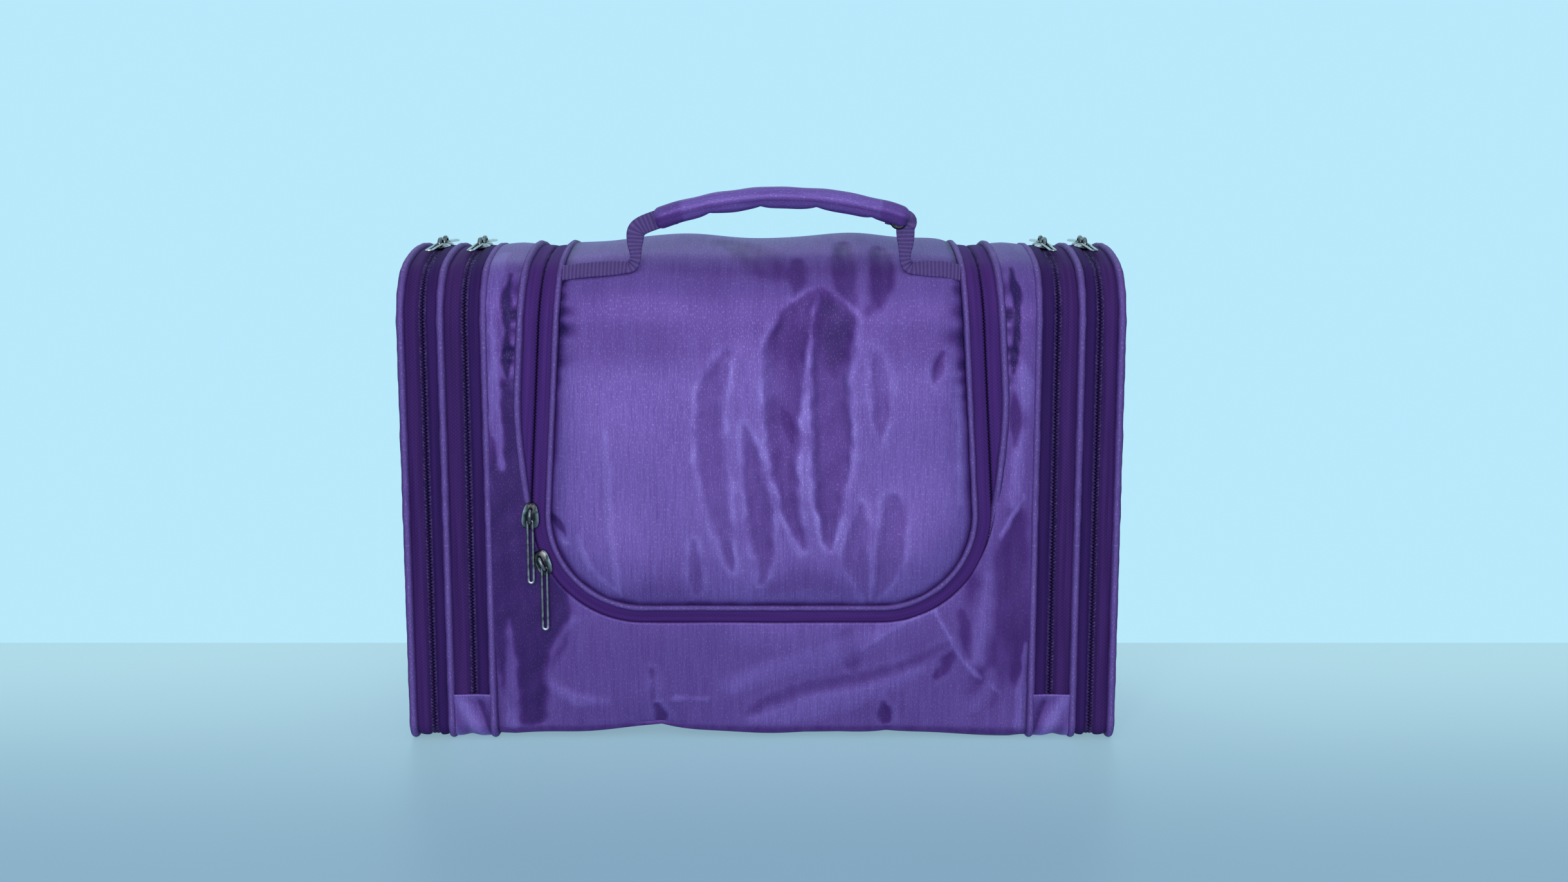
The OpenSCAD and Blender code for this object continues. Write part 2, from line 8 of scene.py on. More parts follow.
import bpy
import numpy as np
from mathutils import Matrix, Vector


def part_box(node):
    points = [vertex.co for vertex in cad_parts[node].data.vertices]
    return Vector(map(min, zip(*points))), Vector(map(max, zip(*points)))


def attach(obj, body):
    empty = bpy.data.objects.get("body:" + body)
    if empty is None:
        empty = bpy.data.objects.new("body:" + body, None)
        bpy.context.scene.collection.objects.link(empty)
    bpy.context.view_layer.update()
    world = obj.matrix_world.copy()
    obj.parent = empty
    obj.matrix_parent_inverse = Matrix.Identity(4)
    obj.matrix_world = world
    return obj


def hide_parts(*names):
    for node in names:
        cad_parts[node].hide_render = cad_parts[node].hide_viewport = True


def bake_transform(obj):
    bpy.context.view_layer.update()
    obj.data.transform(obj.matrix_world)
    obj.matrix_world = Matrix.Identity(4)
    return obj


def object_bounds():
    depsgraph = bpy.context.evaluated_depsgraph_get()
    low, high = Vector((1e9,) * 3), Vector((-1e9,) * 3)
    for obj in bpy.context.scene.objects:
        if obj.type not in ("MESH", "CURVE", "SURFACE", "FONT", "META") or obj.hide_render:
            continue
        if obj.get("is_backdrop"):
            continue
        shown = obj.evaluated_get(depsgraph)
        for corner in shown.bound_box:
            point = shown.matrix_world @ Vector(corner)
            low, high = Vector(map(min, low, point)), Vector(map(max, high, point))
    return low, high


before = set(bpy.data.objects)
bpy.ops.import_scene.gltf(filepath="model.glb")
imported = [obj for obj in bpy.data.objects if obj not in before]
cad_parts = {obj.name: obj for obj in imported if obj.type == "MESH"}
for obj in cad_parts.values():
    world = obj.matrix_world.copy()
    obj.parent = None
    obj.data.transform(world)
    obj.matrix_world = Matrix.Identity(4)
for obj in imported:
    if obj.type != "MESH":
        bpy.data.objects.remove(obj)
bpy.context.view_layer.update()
mm = 0.001

# The room: a table top in pale blue-grey, paler behind the bag and greyer towards the viewer.
# The camera stands a little above the bag, straight before it and tipped down.
camera_place = (0.010, -0.886, 0.280)
camera_tip = math.radians(9.7)
camera_fov = math.radians(45.0)
sensor_w = 36
table_back = 104 * mm
table_front = -230 * mm
wall_colour = (0.480, 0.815, 0.970, 1)
table_colour = (0.560, 0.890, 0.990, 1)
table_front_colour = (0.310, 0.520, 0.670, 1)
table_glow = 0.5
room_low_colour = (0.12, 0.13, 0.15, 1)
room_high_colour = (0.36, 0.39, 0.44, 1)


def fill(tree, node, sockets):
    """Sets sockets of a shader node: each takes a link from another socket, or else a value."""
    for key, value in sockets.items():
        if isinstance(value, bpy.types.NodeSocket):
            tree.links.new(value, node.inputs[key])
        else:
            node.inputs[key].default_value = value


def linked(tree, kind, sockets, **properties):
    """One new shader node with its properties set and its sockets filled."""
    made = tree.nodes.new(kind)
    for key, value in properties.items():
        setattr(made, key, value)
    fill(tree, made, sockets)
    return made


def maths(tree, operation, a, b=0.0, c=0.0, clamp=False):
    """The value of one sum on two values, or on three for MULTIPLY_ADD."""
    return linked(tree, "ShaderNodeMath", {0: a, 1: b, 2: c}, operation=operation, use_clamp=clamp).outputs[0]


def scaled(tree, value, by, plus=0.0, clamp=False):
    """A value times a second one, plus a third."""
    return maths(tree, "MULTIPLY_ADD", value, by, plus, clamp)


def mixed(tree, share, a, b):
    """Colour a where share is 0, colour b where it is 1."""
    return linked(tree, "ShaderNodeMix", {0: share, 6: a, 7: b}, data_type="RGBA").outputs[2]


def stepped(tree, value, low, high):
    """0 where value is under low, 1 where it is over high, and smooth between."""
    sockets = {"Value": value, "From Min": low, "From Max": high}
    return linked(tree, "ShaderNodeMapRange", sockets, interpolation_type="SMOOTHSTEP").outputs[0]


def new_material(name):
    """An empty material with its output, and a Principled shader joined to it."""
    material = bpy.data.materials.new(name)
    material.use_nodes = True
    tree = material.node_tree
    tree.nodes.clear()
    shader = tree.nodes.new("ShaderNodeBsdfPrincipled")
    linked(tree, "ShaderNodeOutputMaterial", {"Surface": shader.outputs[0]})
    return material, tree, shader


def object_place(tree):
    """The place on the object, in metres."""
    return linked(tree, "ShaderNodeTexCoord", {}).outputs["Object"]


def noise(tree, place, scale, detail, dimensions="3D"):
    """Cloudy noise from 0 to 1, with so many clouds to the metre."""
    sockets = {"Vector": place, "Scale": scale, "Detail": detail}
    return linked(tree, "ShaderNodeTexNoise", sockets, noise_dimensions=dimensions).outputs["Fac"]


def in_view(tree):
    """1 on rays from the camera and on rays that a gloss sends on, else 0."""
    path = linked(tree, "ShaderNodeLightPath", {})
    return maths(tree, "MAXIMUM", path.outputs["Is Camera Ray"], path.outputs["Is Glossy Ray"])


def table_material():
    """Blue-grey lacquer, paler with distance; behind the bag it is a plain pale glow, as a lit wall is."""
    material, tree, shader = new_material("table_top")
    place = object_place(tree)
    away = linked(tree, "ShaderNodeSeparateXYZ", {0: place}).outputs["Y"]
    top = mixed(tree, stepped(tree, away, table_front, table_back), table_front_colour, table_colour)
    far = stepped(tree, away, table_back - 1 * mm, table_back + 1 * mm)
    tone = mixed(tree, far, top, wall_colour)
    rough = scaled(tree, noise(tree, place, 9.0, 3.0), 0.12, 0.34)
    fill(tree, shader, {"Base Color": tone, "Roughness": rough})
    glow = linked(tree, "ShaderNodeEmission", {"Color": tone})
    share = scaled(tree, maths(tree, "MAXIMUM", far, table_glow), in_view(tree))
    lit = linked(tree, "ShaderNodeMixShader", {0: share, 1: shader.outputs[0], 2: glow.outputs[0]})
    fill(tree, tree.nodes["Material Output"], {"Surface": lit.outputs[0]})
    return material


def grid(points, flat=None, fold=None, closed_rows=False, closed_columns=False, flip=False):
    """The parts of a mesh from a grid of points: four neighbours make a face that looks along rows x columns.

    `flat` lays the grid out as cut cloth, with one more row or column where the grid closes on itself.
    `fold` is a painted tone: 1 is a painted highlight on the crest of a fold, -1 painted shade in its hollow
    and -2 darker painted shade in a pit; on metal, 1 is pale, partly from rubbing and partly as a painted
    highlight.
    """
    rows, columns = points.shape[:2]
    last_row = rows if closed_rows else rows - 1
    last_column = columns if closed_columns else columns - 1
    row_index, column_index = np.arange(last_row), np.arange(last_column)
    i, j = (index.ravel() for index in np.meshgrid(row_index, column_index, indexing="ij"))
    corners = [(i, j), (i + 1, j), (i + 1, j + 1), (i, j + 1)]
    if flip:
        corners = corners[::-1]
    faces = np.stack([(a % rows) * columns + b % columns for a, b in corners], axis=1)
    if flat is None:
        flat = np.zeros((last_row + 1, last_column + 1, 2))
    places = np.stack([flat[a, b] for a, b in corners], axis=1)
    fold = np.zeros(rows * columns) if fold is None else np.broadcast_to(fold, (rows, columns)).ravel()
    return points.reshape(-1, 3), faces, places, fold


def skin(name, grids, materials, thick=0.0, offset=-1.0):
    """One smooth object from grids, with its cloth layout, its painted fold tone and, if asked, a thickness.
    """
    starts = np.cumsum([0] + [len(part[0]) for part in grids])
    points = np.concatenate([part[0] for part in grids])
    faces = np.concatenate([part[1] + start for part, start in zip(grids, starts)])
    places = np.concatenate([part[2] for part in grids])
    mesh = bpy.data.meshes.new(name)
    mesh.vertices.add(len(points))
    mesh.vertices.foreach_set("co", points.astype(np.float32).ravel())
    mesh.loops.add(faces.size)
    mesh.loops.foreach_set("vertex_index", faces.astype(np.int32).ravel())
    mesh.polygons.add(len(faces))
    mesh.polygons.foreach_set("loop_start", np.arange(0, faces.size, 4, dtype=np.int32))
    mesh.uv_layers.new(name="flat").data.foreach_set("uv", places.astype(np.float32).ravel())
    # The painted shade and highlight of each point, for the materials to read.
    fold = np.concatenate([part[3] for part in grids]).astype(np.float32)
    mesh.attributes.new("fold", "FLOAT", "POINT").data.foreach_set("value", fold)
    mesh.update(calc_edges=True)
    mesh.shade_smooth()
    for material in materials:
        mesh.materials.append(material)
    piece = bpy.data.objects.new(name, mesh)
    bpy.context.scene.collection.objects.link(piece)
    if thick:
        wall = piece.modifiers.new("cloth", "SOLIDIFY")
        wall.thickness = thick
        wall.offset = offset
        wall.material_offset = len(materials) - 1
        wall.material_offset_rim = 0
    return piece


table_x, table_y = np.meshgrid(np.linspace(-9, 9, 7), np.linspace(9, -9, 7))
table_points = np.stack([table_x, table_y, np.zeros_like(table_x)], axis=-1)
table = skin("table", [grid(table_points)], [table_material()])
table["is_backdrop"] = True

scene = bpy.context.scene
scene.view_settings.view_transform = "Standard"
camera = bpy.data.objects.new("camera", bpy.data.cameras.new("camera"))
camera.location = camera_place
camera.rotation_euler = (math.pi / 2 - camera_tip, 0, 0)
camera.data.sensor_width = sensor_w
camera.data.lens = sensor_w / 2 / math.tan(camera_fov / 2)
scene.collection.objects.link(camera)
scene.camera = camera

world = bpy.data.worlds.new("room")
world.use_nodes = True
scene.world = world
room = world.node_tree
room.nodes.clear()
room_way = linked(room, "ShaderNodeTexCoord", {}).outputs["Generated"]
room_rise = stepped(room, linked(room, "ShaderNodeSeparateXYZ", {0: room_way}).outputs["Z"], -0.1, 0.8)
room_tone = mixed(room, room_rise, room_low_colour, room_high_colour)
room_fill = linked(room, "ShaderNodeBackground", {"Color": room_tone}).outputs[0]
room_wall = linked(room, "ShaderNodeBackground", {"Color": wall_colour}).outputs[0]
room_mix = linked(room, "ShaderNodeMixShader", {0: in_view(room), 1: room_fill, 2: room_wall})
linked(room, "ShaderNodeOutputWorld", {"Surface": room_mix.outputs[0]})

for lamp_name, lamp_place, lamp_aim, lamp_size, lamp_power in (
        ("lamp_front", (-0.05, -1.50, 0.42), (0.0, -0.02, 0.12), 1.2, 10.0),
        ("lamp_spark", (-0.22, -0.95, 0.85), (0.0, 0.0, 0.12), 0.10, 0.7),
        ("lamp_over", (0.2, -0.3, 1.5), (0.0, 0.0, 0.12), 1.0, 1.2),
        ("lamp_rear", (-0.3, 1.2, 1.3), (0.0, 0.0, 0.12), 0.9, 1.5)):
    lamp = bpy.data.objects.new(lamp_name, bpy.data.lights.new(lamp_name, "AREA"))
    lamp.data.size = lamp_size
    lamp.data.energy = lamp_power
    lamp.location = lamp_place
    aim = np.array(lamp_aim) - np.array(lamp_place)
    lamp.rotation_euler = (math.atan2(math.hypot(aim[0], aim[1]), -aim[2]), 0, math.atan2(-aim[0], aim[1]))
    scene.collection.objects.link(lamp)

# The base: a satin panel under the main body that turns up at front and back to the seams, stiffened
# inside by a loose grey board. Its lower front edge puckers at two stitched pinches.
case_h = 222 * mm
case_d = 120 * mm
top_r = 28 * mm
crown_r = 160 * mm
base_r = 8 * mm
wall_half = 120.8 * mm
wall_t = 2.0 * mm
satin_bright = (0.243, 0.142, 0.505, 1)
satin_deep = (0.138, 0.062, 0.308, 1)
# Painted shade for the hollows and pits of folds, a painted highlight for their crests, and painted glints on
# threads.
satin_hollow_shade = (0.090, 0.028, 0.205, 1)
satin_pit_shade = (0.030, 0.010, 0.098, 1)
satin_crest_highlight = (0.345, 0.235, 0.690, 1)
lining_colour = (0.060, 0.040, 0.150, 1)
lining_deep = (0.036, 0.024, 0.090, 1)
painted_glint_colour = (0.62, 0.56, 0.92, 1)
sheen_colour = (0.62, 0.55, 0.95, 1)
shade_names = ("Bright", "Deep", "Hollow", "Crest")
board_colour = (0.30, 0.30, 0.33, 1)
board_fleck = (0.42, 0.42, 0.45, 1)
pinch_left = -46 * mm
pinch_left_in = 4.6 * mm
pinch_right = 56.7 * mm
pinch_right_in = 2.0 * mm
foot_sag = 1.2 * mm
slack = 2.6 * mm
slack_from = 205 * mm

corner_y = case_d / 2 - top_r
crown_a = math.asin(corner_y / (crown_r - top_r))
corner_z = case_h - crown_r + (crown_r - top_r) * math.cos(crown_a)
runs = [0, crown_r * crown_a, top_r * (math.pi / 2 - crown_a), corner_z - base_r, base_r * math.pi / 2,
        case_d / 2 - base_r]
run_ends = np.cumsum(runs)
crown_end, corner_end, front_end = run_ends[1:4]
half_way = run_ends[-1]
wrap_end = front_end + 9 * mm
walk_s = np.linspace(0, half_way, 3000)
walk_turn = np.interp(walk_s, run_ends, [0, crown_a, math.pi / 2, math.pi / 2, math.pi, math.pi])
walk_mid = (walk_turn[1:] + walk_turn[:-1]) / 2
walk_y = -np.concatenate([[0], np.cumsum(np.cos(walk_mid))]) * walk_s[1]
walk_z = case_h - np.concatenate([[0], np.cumsum(np.sin(walk_mid))]) * walk_s[1]


def facing(s):
    """The outward direction of the side outline, a way s along it."""
    ahead = np.where(s < 0, -1.0, 1.0)
    turn = np.interp(np.abs(s), walk_s, walk_turn)
    return np.stack([np.zeros_like(turn), -ahead * np.sin(turn), np.cos(turn)], axis=-1)


def on_wall(x, s, out):
    """The point x across, a way s along the side outline from the crown's middle, forward being positive,
    and `out` off it along the outline's outward direction."""
    x, s, out = np.broadcast_arrays(x, s, out)
    ahead = np.where(s < 0, -1.0, 1.0)
    y = ahead * np.interp(np.abs(s), walk_s, walk_y)
    z = np.interp(np.abs(s), walk_s, walk_z)
    return np.stack([x, y, z], axis=-1) + out[..., None] * facing(s)


def flat_of(x, s):
    """The cloth layout of a grid: x across and s along."""
    return np.stack(np.broadcast_arrays(x, s), axis=-1)


def ramp(value, start, end):
    """0 at start and before it, 1 at end and after it, and a straight line between."""
    return np.clip((value - start) / (end - start), 0, 1)


def smooth(value, start, end):
    """A ramp that a cubic eases into and out of."""
    t = ramp(value, start, end)
    return t * t * (3 - 2 * t)


def fade(way, length):
    """1 at the start of a way, and with each length gone about a third of what it was."""
    return np.exp(-way / length)


def bell(way, width):
    """1 in the middle, falling off on both sides to about a third at this width."""
    return np.exp(-(way / width) ** 2)


def undulation(x, s, seed, length, height, waves=9):
    """Soft unevenness: plane waves of about one length in seeded directions and phases, summed."""
    pick = np.random.default_rng(seed)
    turns, phases = pick.uniform(0, math.pi, waves), pick.uniform(0, 2 * math.pi, waves)
    lengths = length * pick.uniform(0.7, 1.6, waves)
    total = np.zeros(np.broadcast(x, s).shape)
    for turn, phase, one in zip(turns, phases, lengths):
        total = total + np.sin(2 * math.pi * (x * math.cos(turn) + s * math.sin(turn)) / one + phase)
    return total * height / math.sqrt(waves)


def cloth_layout(tree):
    """The place on the flat cut cloth, in metres."""
    return linked(tree, "ShaderNodeUVMap", {}, uv_map="flat").outputs[0]


def drawn_out(tree, place, across, along):
    """A place on the cloth, counted in threads: so many to the metre across it, and so many along it."""
    return linked(tree, "ShaderNodeMapping", {"Vector": place, "Scale": (across, along, 1)}).outputs[0]


def satin_group():
    """Satin threads on the cloth layout: fine warp streaks, slubs and painted glints, with plum painted shade
    in the hollow of a fold, darker painted shade in a pit and a pale painted highlight on a crest."""
    group = bpy.data.node_groups.new("satin_threads", "ShaderNodeTree")
    for label in shade_names:
        group.interface.new_socket(label, in_out="INPUT", socket_type="NodeSocketColor")
    for label, kind in (("Color", "NodeSocketColor"), ("Roughness", "NodeSocketFloat"),
                        ("Height", "NodeSocketFloat")):
        group.interface.new_socket(label, in_out="OUTPUT", socket_type=kind)
    given, result = group.nodes.new("NodeGroupInput"), group.nodes.new("NodeGroupOutput")
    layout = cloth_layout(group)

    def threads(across, along, detail):
        """Noise drawn out into threads."""
        return noise(group, drawn_out(group, layout, across, along), 1.0, detail, "2D")

    warp, slub, cloud = threads(2400, 110, 1.0), threads(900, 30, 2.0), threads(38, 22, 3.0)
    patch = stepped(group, threads(170, 38, 2.0), 0.30, 0.70)
    glint = stepped(group, threads(2300, 900, 0.0), 0.66, 0.80)
    tone = scaled(group, slub, 0.75, scaled(group, warp, 0.9, -0.35))
    tone = scaled(group, cloud, 0.5, tone, clamp=True)
    tone = maths(group, "SUBTRACT", tone, 0.12, clamp=True)
    cloth = mixed(group, tone, given.outputs["Deep"], given.outputs["Bright"])
    fold = linked(group, "ShaderNodeAttribute", {}, attribute_name="fold").outputs["Fac"]
    broken = scaled(group, patch, 0.45, scaled(group, warp, 0.4, 0.5))
    steady = scaled(group, broken, 0.45, 0.48)
    # The fold attribute paints shade into hollows and pits, a highlight onto crests, and glints onto the
    # threads.
    shaded = scaled(group, scaled(group, fold, -1.0, clamp=True), steady, clamp=True)
    cloth = mixed(group, shaded, cloth, given.outputs["Hollow"])
    painted_pit = scaled(group, fold, -1.0, -1.0, clamp=True)
    cloth = mixed(group, painted_pit, cloth, satin_pit_shade)
    painted_crest = scaled(group, fold, broken, clamp=True)
    cloth = mixed(group, painted_crest, cloth, given.outputs["Crest"])
    painted_glints = scaled(group, glint, scaled(group, painted_crest, 0.35, 0.16))
    painted_glints = scaled(group, painted_glints, scaled(group, shaded, -0.75, 1.0))
    rough = scaled(group, glint, -0.14, scaled(group, slub, 0.14, 0.41))
    cloth = mixed(group, painted_glints, cloth, painted_glint_colour)
    fill(group, result, {"Color": cloth, "Roughness": rough, "Height": scaled(group, slub, 0.6, warp)})
    return group


satin_threads = satin_group()


def bumped(tree, shader, height, strength, distance):
    """Lets a height ripple the shader's normal."""
    bump = linked(tree, "ShaderNodeBump", {"Height": height, "Strength": strength, "Distance": distance})
    fill(tree, shader, {"Normal": bump.outputs[0]})


def satin_material(name, shades, metal=0.3, dull=0.0):
    """Woven satin: bright and deep threads, with painted shade for hollows and a painted highlight for
    crests;
    its gloss has their hue.
    """
    material, tree, shader = new_material(name)
    threads = linked(tree, "ShaderNodeGroup", dict(zip(shade_names, shades)), node_tree=satin_threads)
    rough = maths(tree, "ADD", threads.outputs["Roughness"], dull)
    bumped(tree, shader, threads.outputs["Height"], 0.35, 0.12 * mm)
    fill(tree, shader, {"Base Color": threads.outputs["Color"], "Roughness": rough, "Metallic": metal,
                        "Specular IOR Level": 0.18, "Sheen Weight": 0.03, "Sheen Roughness": 0.45,
                        "Sheen Tint": sheen_colour})
    return material


satin = satin_material("satin", (satin_bright, satin_deep, satin_hollow_shade, satin_crest_highlight))
# The lining's hollows take its deep colour as painted shade, and its crests its own colour.
lining_shades = (lining_colour, lining_deep, lining_deep, lining_colour)
lining = satin_material("lining", lining_shades, metal=0.1, dull=0.2)


def drawn_in(x, s):
    """How far the cloth by the lower front edge is drawn in: two pinches and a slow sag, which fade above and
    below the edge, and the slack panel's lean towards it."""
    below = s - front_end - 5 * mm
    low = bell(below, np.where(below < 0, 11 * mm, 26 * mm))
    draw = pinch_left_in * fade(np.abs(x - pinch_left), np.where(x < pinch_left, 40 * mm, 17 * mm))
    draw = draw + pinch_right_in * fade(np.abs(x - pinch_right), 15 * mm)
    sag = foot_sag * np.cos(math.pi * x / wall_half / 2)
    past = np.maximum(s - front_end, 0)
    lean = slack * smooth(s, slack_from, front_end) * bell(past, 9 * mm)
    return -(draw + sag) * low - lean


base_s = np.concatenate([np.linspace(wrap_end, half_way, 60), np.linspace(-half_way, -front_end, 60)[1:]])
base_across, base_along = np.meshgrid(np.linspace(-wall_half, wall_half, 130), base_s)
base_rise = undulation(base_across, base_along, 3, 60 * mm, 0.12 * mm) - 0.6 * mm
base_rise = base_rise + drawn_in(base_across, base_along)
base_run = np.abs(base_along - wrap_end)
# Painted shadow: the base cloth darkens towards the lower front edge.
base_edge_shade = -0.7 * fade(base_run, 20 * mm)
base_points = on_wall(base_across, base_along, base_rise)
base_grid = grid(base_points, flat_of(base_across, base_run), base_edge_shade)
base_panel = skin("base_cloth", [base_grid], [satin, lining], wall_t)
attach(base_panel, "main_body")
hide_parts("base_panel")


def board_material():
    """Grey pressed fibre board: flecked, dull and slightly uneven."""
    material, tree, shader = new_material("fibre_board")
    fleck = noise(tree, object_place(tree), 700.0, 4.0)
    bumped(tree, shader, fleck, 0.3, 0.1 * mm)
    fill(tree, shader, {"Base Color": mixed(tree, fleck, board_colour, board_fleck), "Roughness": 0.85})
    return material


board_low, board_high = np.array(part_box("base_board"))
board_t = board_high[2] - board_low[2]
board_x = np.linspace(board_low[0], board_high[0], 120)
board_front = np.maximum(board_low[1], 4.5 * mm - case_d / 2 - 1.3 * drawn_in(board_x, front_end))
board_reach = np.linspace(0, 1, 70)[:, None]
board_y = board_front + (board_high[1] - board_front) * board_reach
board_along = np.where(board_y < 0, half_way + board_y, board_y - half_way)
board_z = board_low[2] + 0.1 * mm - np.minimum(drawn_in(board_x, board_along), 0)
board_points = np.stack([np.broadcast_to(board_x, board_y.shape), board_y, board_z + board_t], axis=-1)
board = skin("board_sheet", [grid(board_points, flip=True)], [board_material()], board_t)
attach(board, "main_body")
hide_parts("base_board")

# The back: one padded satin panel from the flap's seam across the top, down to the base seam.
# It is plain and slightly uneven, and its edges are drawn down under the pipings.
seam_y = 36 * mm
seam_s = -crown_r * math.asin(seam_y / crown_r)

back_s = np.linspace(-front_end, seam_s, 170)
back_across, back_along = np.meshgrid(np.linspace(-wall_half, wall_half, 150), back_s)
back_edge = np.minimum(wall_half - np.abs(back_across),
                       np.minimum(seam_s - back_along, back_along + front_end))
back_rise = (1.2 - 2.2 * fade(back_edge, 14 * mm)) * mm
back_wave = undulation(back_across, back_along, 5, 70 * mm, 0.35 * mm)
back_rise = np.minimum(back_rise + back_wave * (1 - fade(back_edge, 10 * mm)), 0.6 * mm)
back_grid = grid(on_wall(back_across, back_along, back_rise), flat_of(back_across, back_along))
back_panel = skin("back_cloth", [back_grid], [satin, lining], wall_t)
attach(back_panel, "main_body")
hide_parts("back_panel")

# The front: a satin panel that frames the flap's zip on three sides. It is soft and slack under the flap,
# with slanting creases that run to the pinches in its lower edge. Its creases are painted with shade and
# highlights, and the whole panel with painted shade.
leg_half = 103 * mm
leg_lean = 7 * mm
flap_zip_z = 55 * mm
flap_corner_r = 50 * mm
opening_margin = 8 * mm
opening_least = -0.8 * mm
close_from = 105 * mm
close_to = 185 * mm
pucker_pitch = 8.8 * mm
pucker_s = 82 * mm
pucker_half = 26 * mm
leg_z = flap_zip_z + flap_corner_r
leg_t = leg_lean / (case_h - leg_z)
leg_a = math.atan(leg_t)
bend_x = leg_half - flap_corner_r / math.cos(leg_a)
bend_s = corner_end + corner_z - leg_z


def leg_at(s):
    """How far from the middle the legs of the flap's zip line lie, a way s along the side outline."""
    return leg_half - (np.interp(np.abs(s), walk_s, walk_z) - leg_z) * leg_t


def zip_line(count):
    """The flap's zip line as even flat points, from the left leg round to the right, and the way gone."""
    leg_s = np.linspace(seam_s, bend_s - flap_corner_r * math.sin(leg_a), 200)
    bend = np.linspace(leg_a, -math.pi / 2, 80)[1:]
    half_x = np.concatenate([leg_at(leg_s), bend_x + flap_corner_r * np.cos(bend)])
    half_s = np.concatenate([leg_s, bend_s - flap_corner_r * np.sin(bend)])
    x = np.concatenate([-half_x, half_x[::-1]])
    s = np.concatenate([half_s, half_s[::-1]])
    run = np.concatenate([[0], np.cumsum(np.hypot(np.diff(x), np.diff(s)))])
    even = np.linspace(0, run[-1], count)
    return np.interp(even, run, x), np.interp(even, run, s), even


def beside_zip(margin, count):
    """Flat points beside the flap's zip line, out from it by a margin that may change along it."""
    x, s, _ = zip_line(count)
    tx, ts = np.gradient(x), np.gradient(s)
    length = np.hypot(tx, ts)
    off = margin(s) if callable(margin) else margin
    return x - ts / length * off, s + tx / length * off


def opening_edge(s):
    """The margin at which the front panel meets the zip: wide beside the upper legs, and at the coil under
    the flap's foot, where the slack panel covers the outer tape."""
    return opening_margin - (opening_margin - opening_least) * smooth(s, close_from, close_to)


def inside_zip(x, s):
    """How far a flat point lies inside the flap's zip line: from its leg, or low down from the bend's arc."""
    across = np.abs(x)
    leg = (leg_at(s) - across) * math.cos(leg_a)
    bend = flap_corner_r - np.hypot(np.maximum(across - bend_x, 0), np.maximum(s - bend_s, 0))
    return np.where(s < bend_s, np.minimum(leg, flap_corner_r + bend_s - s), bend)


def length_along(centres):
    """The way gone along a path at each of its points."""
    return np.concatenate([[0], np.cumsum(np.linalg.norm(np.diff(centres, axis=0), axis=1))])


def eased(points, count):
    """A smooth path of even points through a few given ones, each span a cubic whose ends run parallel to the
    line between the neighbours on both sides."""
    points = np.array(points, float)
    ends = np.concatenate([[2 * points[0] - points[1]], points, [2 * points[-1] - points[-2]]])
    t = np.linspace(0, 1, 24, endpoint=False)[:, None]
    runs = []
    for a, b, c, d in zip(ends[:-3], ends[1:-2], ends[2:-1], ends[3:]):
        runs.append(0.5 * (2 * b + (c - a) * t + (2 * a - 5 * b + 4 * c - d) * t ** 2
                           + (3 * b - a - 3 * c + d) * t ** 3))
    dense = np.concatenate(runs + [points[-1:]])
    run = length_along(dense)
    even = np.linspace(0, run[-1], count)
    return np.stack([np.interp(even, run, dense[:, k]) for k in range(dense.shape[1])], axis=1)


def inside_fold(x, s, line):
    """How far each flat point lies inside a fold: the fold's half width at the nearest point of its line,
    less the way to it. Each point of the line gives x, s and the half width in mm."""
    line = eased(line, 26) * mm
    best = np.full(np.broadcast(x, s).shape, -1.0)
    for (ax, az, half), (bx, bz, next_half) in zip(line[:-1], line[1:]):
        ux, uz = bx - ax, bz - az
        t = np.clip(((x - ax) * ux + (s - az) * uz) / (ux * ux + uz * uz), 0, 1)
        best = np.maximum(best, half + (next_half - half) * t - np.hypot(x - ax - ux * t, s - az - uz * t))
    return best


def folded(x, s, folds):
    """The height and tone that folds add. Each sinks by its depth over a soft ragged wall, within a slightly
    raised rim that is painted pale as a highlight and broken up at random.

    The tone is painted: -1 is painted shade in a full hollow, -2 darker painted shade in a pit and 1 a
    painted highlight on a full crest. A fold of negative depth is a crest.
    """
    height, hollow, crest, lift = (np.zeros(np.broadcast(x, s).shape) for _ in range(4))
    ragged = undulation(x, s, 61, 10 * mm, 0.55 * mm)
    highlight_share = np.clip(0.55 + undulation(x, s, 62, 17 * mm, 0.5), 0.05, 1)
    for line, depth, wall, tint, rim in folds:
        deep = (inside_fold(x, s, line) + ragged) / (wall * mm)
        floor = smooth(deep, -0.5, 0.5)
        edge = bell(deep * wall + 1.2, 1.9) * rim * highlight_share
        height = height - depth * mm * smooth(deep, -0.72, 1.68) + 0.05 * mm * edge
        crest = np.maximum(crest, edge)
        if depth < 0:
            lift = np.maximum(lift, tint * floor)
        else:
            hollow = np.maximum(hollow, tint * floor)
    mottle = 1 + undulation(x, s, 63, 13 * mm, 0.07)
    tone = crest * np.maximum(1 - hollow, 0) - hollow * mottle
    return height, tone * (1 - lift) + lift


